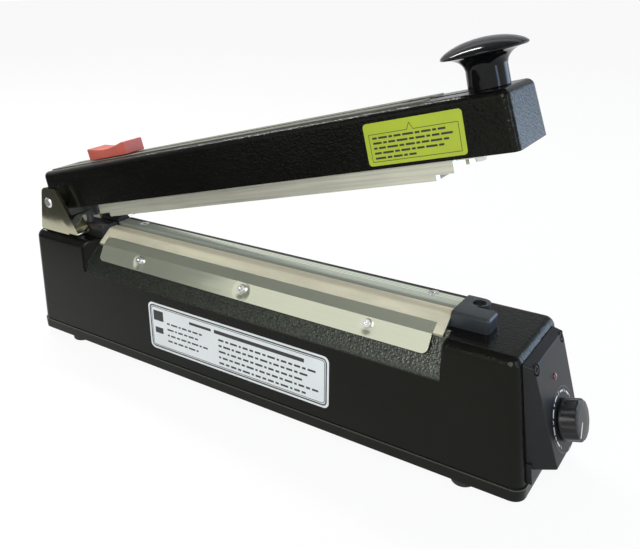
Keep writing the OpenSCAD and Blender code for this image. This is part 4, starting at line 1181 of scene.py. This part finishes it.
class SEALER_OT_stage(bpy.types.Operator):
    """Pale floor, soft light and the camera"""

    bl_idname = "sealer.stage"
    bl_label = "Stage"

    def execute(self, context):
        stage = context.scene.sealer_stage
        context.scene.view_settings.view_transform = "Standard"
        self.floor(stage)
        self.world(stage)
        self.card("ceiling_card", Matrix.Translation((-0.5, -0.2, 1.45)), 4.0, 2.6, 0.44)
        low = self.card("floor_card", Matrix.Translation((-0.735, -0.751, 0.002)), 1.13, 1.058, 0.06)
        far = self.card("back_card", axes(Vector((-0.9, 1.7, 0.85)), Vector((1, 0, 0)), Vector((0, 0, 1)),
                                          Vector((0, -1, 0))), 4.0, 1.3, 0.8)
        side = self.card("side_card", axes(Vector((-1.30, -0.75, 0.45)), Vector((-0.5, 0.866, 0)), Vector((0, 0, 1)),
                                           Vector((0.866, 0.5, 0))), 0.9, 0.9, 0.28)
        low.visible_shadow = far.visible_shadow = side.visible_shadow = False
        self.lamp("key_light", (0.35, -1.30, 0.95), (0.0, 0.0, 0.08), (0.8, 0.8), 15.0, (1.0, 0.985, 0.95))
        self.lamp("edge_light", (-0.90, 0.30, 1.05), (-0.90, 0.0, 0.1), (1.4, 0.07), 18.0, (1.0, 0.99, 0.96))
        self.lamp("side_light", (1.00, 1.15, 0.40), (0.1, 0.0, 0.12), (0.8, 0.8), 8.0, (0.50, 0.70, 1.0))
        self.lamp("window_light", (1.35, -0.35, 0.55), (0.1, 0.0, 0.2), (0.22, 0.9), 4.8, (0.46, 0.68, 1.0))
        self.camera(stage)
        return {"FINISHED"}

    def seen(self, finish):
        """1 for what the eye sees, straight or in a mirror or a lens."""
        path = finish.node("ShaderNodeLightPath", out="Is Camera Ray")
        rays = path.socket.node.outputs
        glossy = Value(finish, rays["Is Glossy Ray"])
        through = Value(finish, rays["Is Transmission Ray"])
        return path.most(glossy).most(through)

    def floor(self, stage):
        obj = start(bpy.ops.mesh.primitive_plane_add, size=12.0)
        bpy.ops.mesh.subdivide(number_cuts=3)
        bpy.ops.object.mode_set(mode="OBJECT")
        obj.name = obj.data.name = "floor"
        f = paint("floor_paper")
        fibre = f.noise(f.place(), 60.0, 4.0, 0.6)
        paper = f.node("ShaderNodeBsdfDiffuse", sockets={
            "Color": f.mix(fibre, tint(stage.floor, 0.99), rgba(stage.floor))})
        white = f.node("ShaderNodeEmission", sockets={"Color": (1, 1, 1, 1), "Strength": 1.0})
        surface = f.node("ShaderNodeMixShader", sockets={0: self.seen(f) * 0.92, 1: paper, 2: white})
        obj.data.materials.append(f.close(surface))

    def card(self, name, frame_at, width, height, grey):
        """A grey card out of the camera's sight, for metal and gloss to mirror."""
        obj = start(bpy.ops.mesh.primitive_plane_add, size=1.0)
        stretch(width, height, 1)
        put_at(obj, frame_at)
        obj.name = obj.data.name = name
        f = paint(name)
        felt = f.noise(f.place(), 300.0, 3.0)
        matt = f.node("ShaderNodeBsdfDiffuse", sockets={
            "Color": f.mix(felt, (grey, grey, grey, 1), tint((grey, grey, grey), 1.15))})
        obj.data.materials.append(f.close(matt))
        obj.visible_camera = False
        return obj

    def world(self, stage):
        world = bpy.data.worlds.new("studio")
        bpy.context.scene.world = world
        f = Finish(world)
        seen = self.seen(f)
        light = f.node("ShaderNodeBackground", sockets={
            "Color": (1.0, 1.0, 1.0, 1.0), "Strength": seen * (1.0 - stage.fill) + stage.fill})
        f.node("ShaderNodeOutputWorld", sockets={"Surface": light})

    def lamp(self, name, at, towards, size, power, colour_of):
        only(None)
        bpy.ops.object.light_add(type="AREA", location=at)
        obj = bpy.context.object
        obj.name = obj.data.name = name
        obj.data.shape = "RECTANGLE"
        obj.data.size, obj.data.size_y = size
        obj.data.energy = power
        obj.data.color = colour_of
        obj.rotation_euler = (Vector(towards) - Vector(at)).to_track_quat("-Z", "Y").to_euler()

    def camera(self, stage):
        only(None)
        bpy.ops.object.camera_add()
        obj = bpy.context.object
        obj.name = obj.data.name = "photo_camera"
        a, e, r = stage.azimuth, stage.elevation, stage.roll
        back = Vector((math.sin(a) * math.cos(e), -math.cos(a) * math.cos(e), math.sin(e)))
        level = Vector((math.cos(a), math.sin(a), 0))
        upright = back.cross(level)
        right = level * math.cos(r) + upright * math.sin(r)
        up = upright * math.cos(r) - level * math.sin(r)
        obj.matrix_world = axes(Vector(stage.eye), right, up, back)
        obj.data.sensor_width = 36.0
        obj.data.lens = stage.lens
        obj.data.clip_start = 0.01
        bpy.context.scene.camera = obj


class SEALER_PT_pieces(bpy.types.Panel):
    """Lists the sealer's pieces in the sidebar"""

    bl_idname = "SEALER_PT_pieces"
    bl_label = "Heat sealer"
    bl_space_type = "VIEW_3D"
    bl_region_type = "UI"
    bl_category = "Sealer"

    def draw(self, context):
        column = self.layout.column(align=True)
        for operator in OPERATORS:
            column.operator(operator.bl_idname)
        for group in (context.scene.sealer_colours, context.scene.sealer_sizes, context.scene.sealer_stage):
            box = self.layout.box()
            for name in group.bl_rna.properties.keys():
                if name not in ("rna_type", "name"):
                    box.prop(group, name)


OPERATORS = (
    SEALER_OT_castings, SEALER_OT_hinge, SEALER_OT_jaw, SEALER_OT_end_blocks, SEALER_OT_arm_bars,
    SEALER_OT_handle, SEALER_OT_cutter, SEALER_OT_panel, SEALER_OT_knob, SEALER_OT_labels,
    SEALER_OT_screws, SEALER_OT_insides, SEALER_OT_stage)
GROUPS = {"sealer_colours": SealerColours, "sealer_sizes": SealerSizes, "sealer_stage": SealerStage}
CLASSES = (*GROUPS.values(), *OPERATORS, SEALER_PT_pieces)


def register():
    for item in CLASSES:
        bpy.utils.register_class(item)
    for name, group in GROUPS.items():
        setattr(bpy.types.Scene, name, bpy.props.PointerProperty(type=group))


def unregister():
    for name in GROUPS:
        delattr(bpy.types.Scene, name)
    for item in reversed(CLASSES):
        bpy.utils.unregister_class(item)


def main():
    register()
    bpy.ops.sealer.stage()
    bpy.ops.sealer.castings()
    bpy.ops.sealer.hinge()
    bpy.ops.sealer.jaw()
    bpy.ops.sealer.end_blocks()
    bpy.ops.sealer.arm_bars()
    bpy.ops.sealer.handle()
    bpy.ops.sealer.cutter()
    bpy.ops.sealer.panel()
    bpy.ops.sealer.knob()
    bpy.ops.sealer.labels()
    bpy.ops.sealer.screws()
    bpy.ops.sealer.insides()
    only(None)


if __name__ == "__main__":
    main()
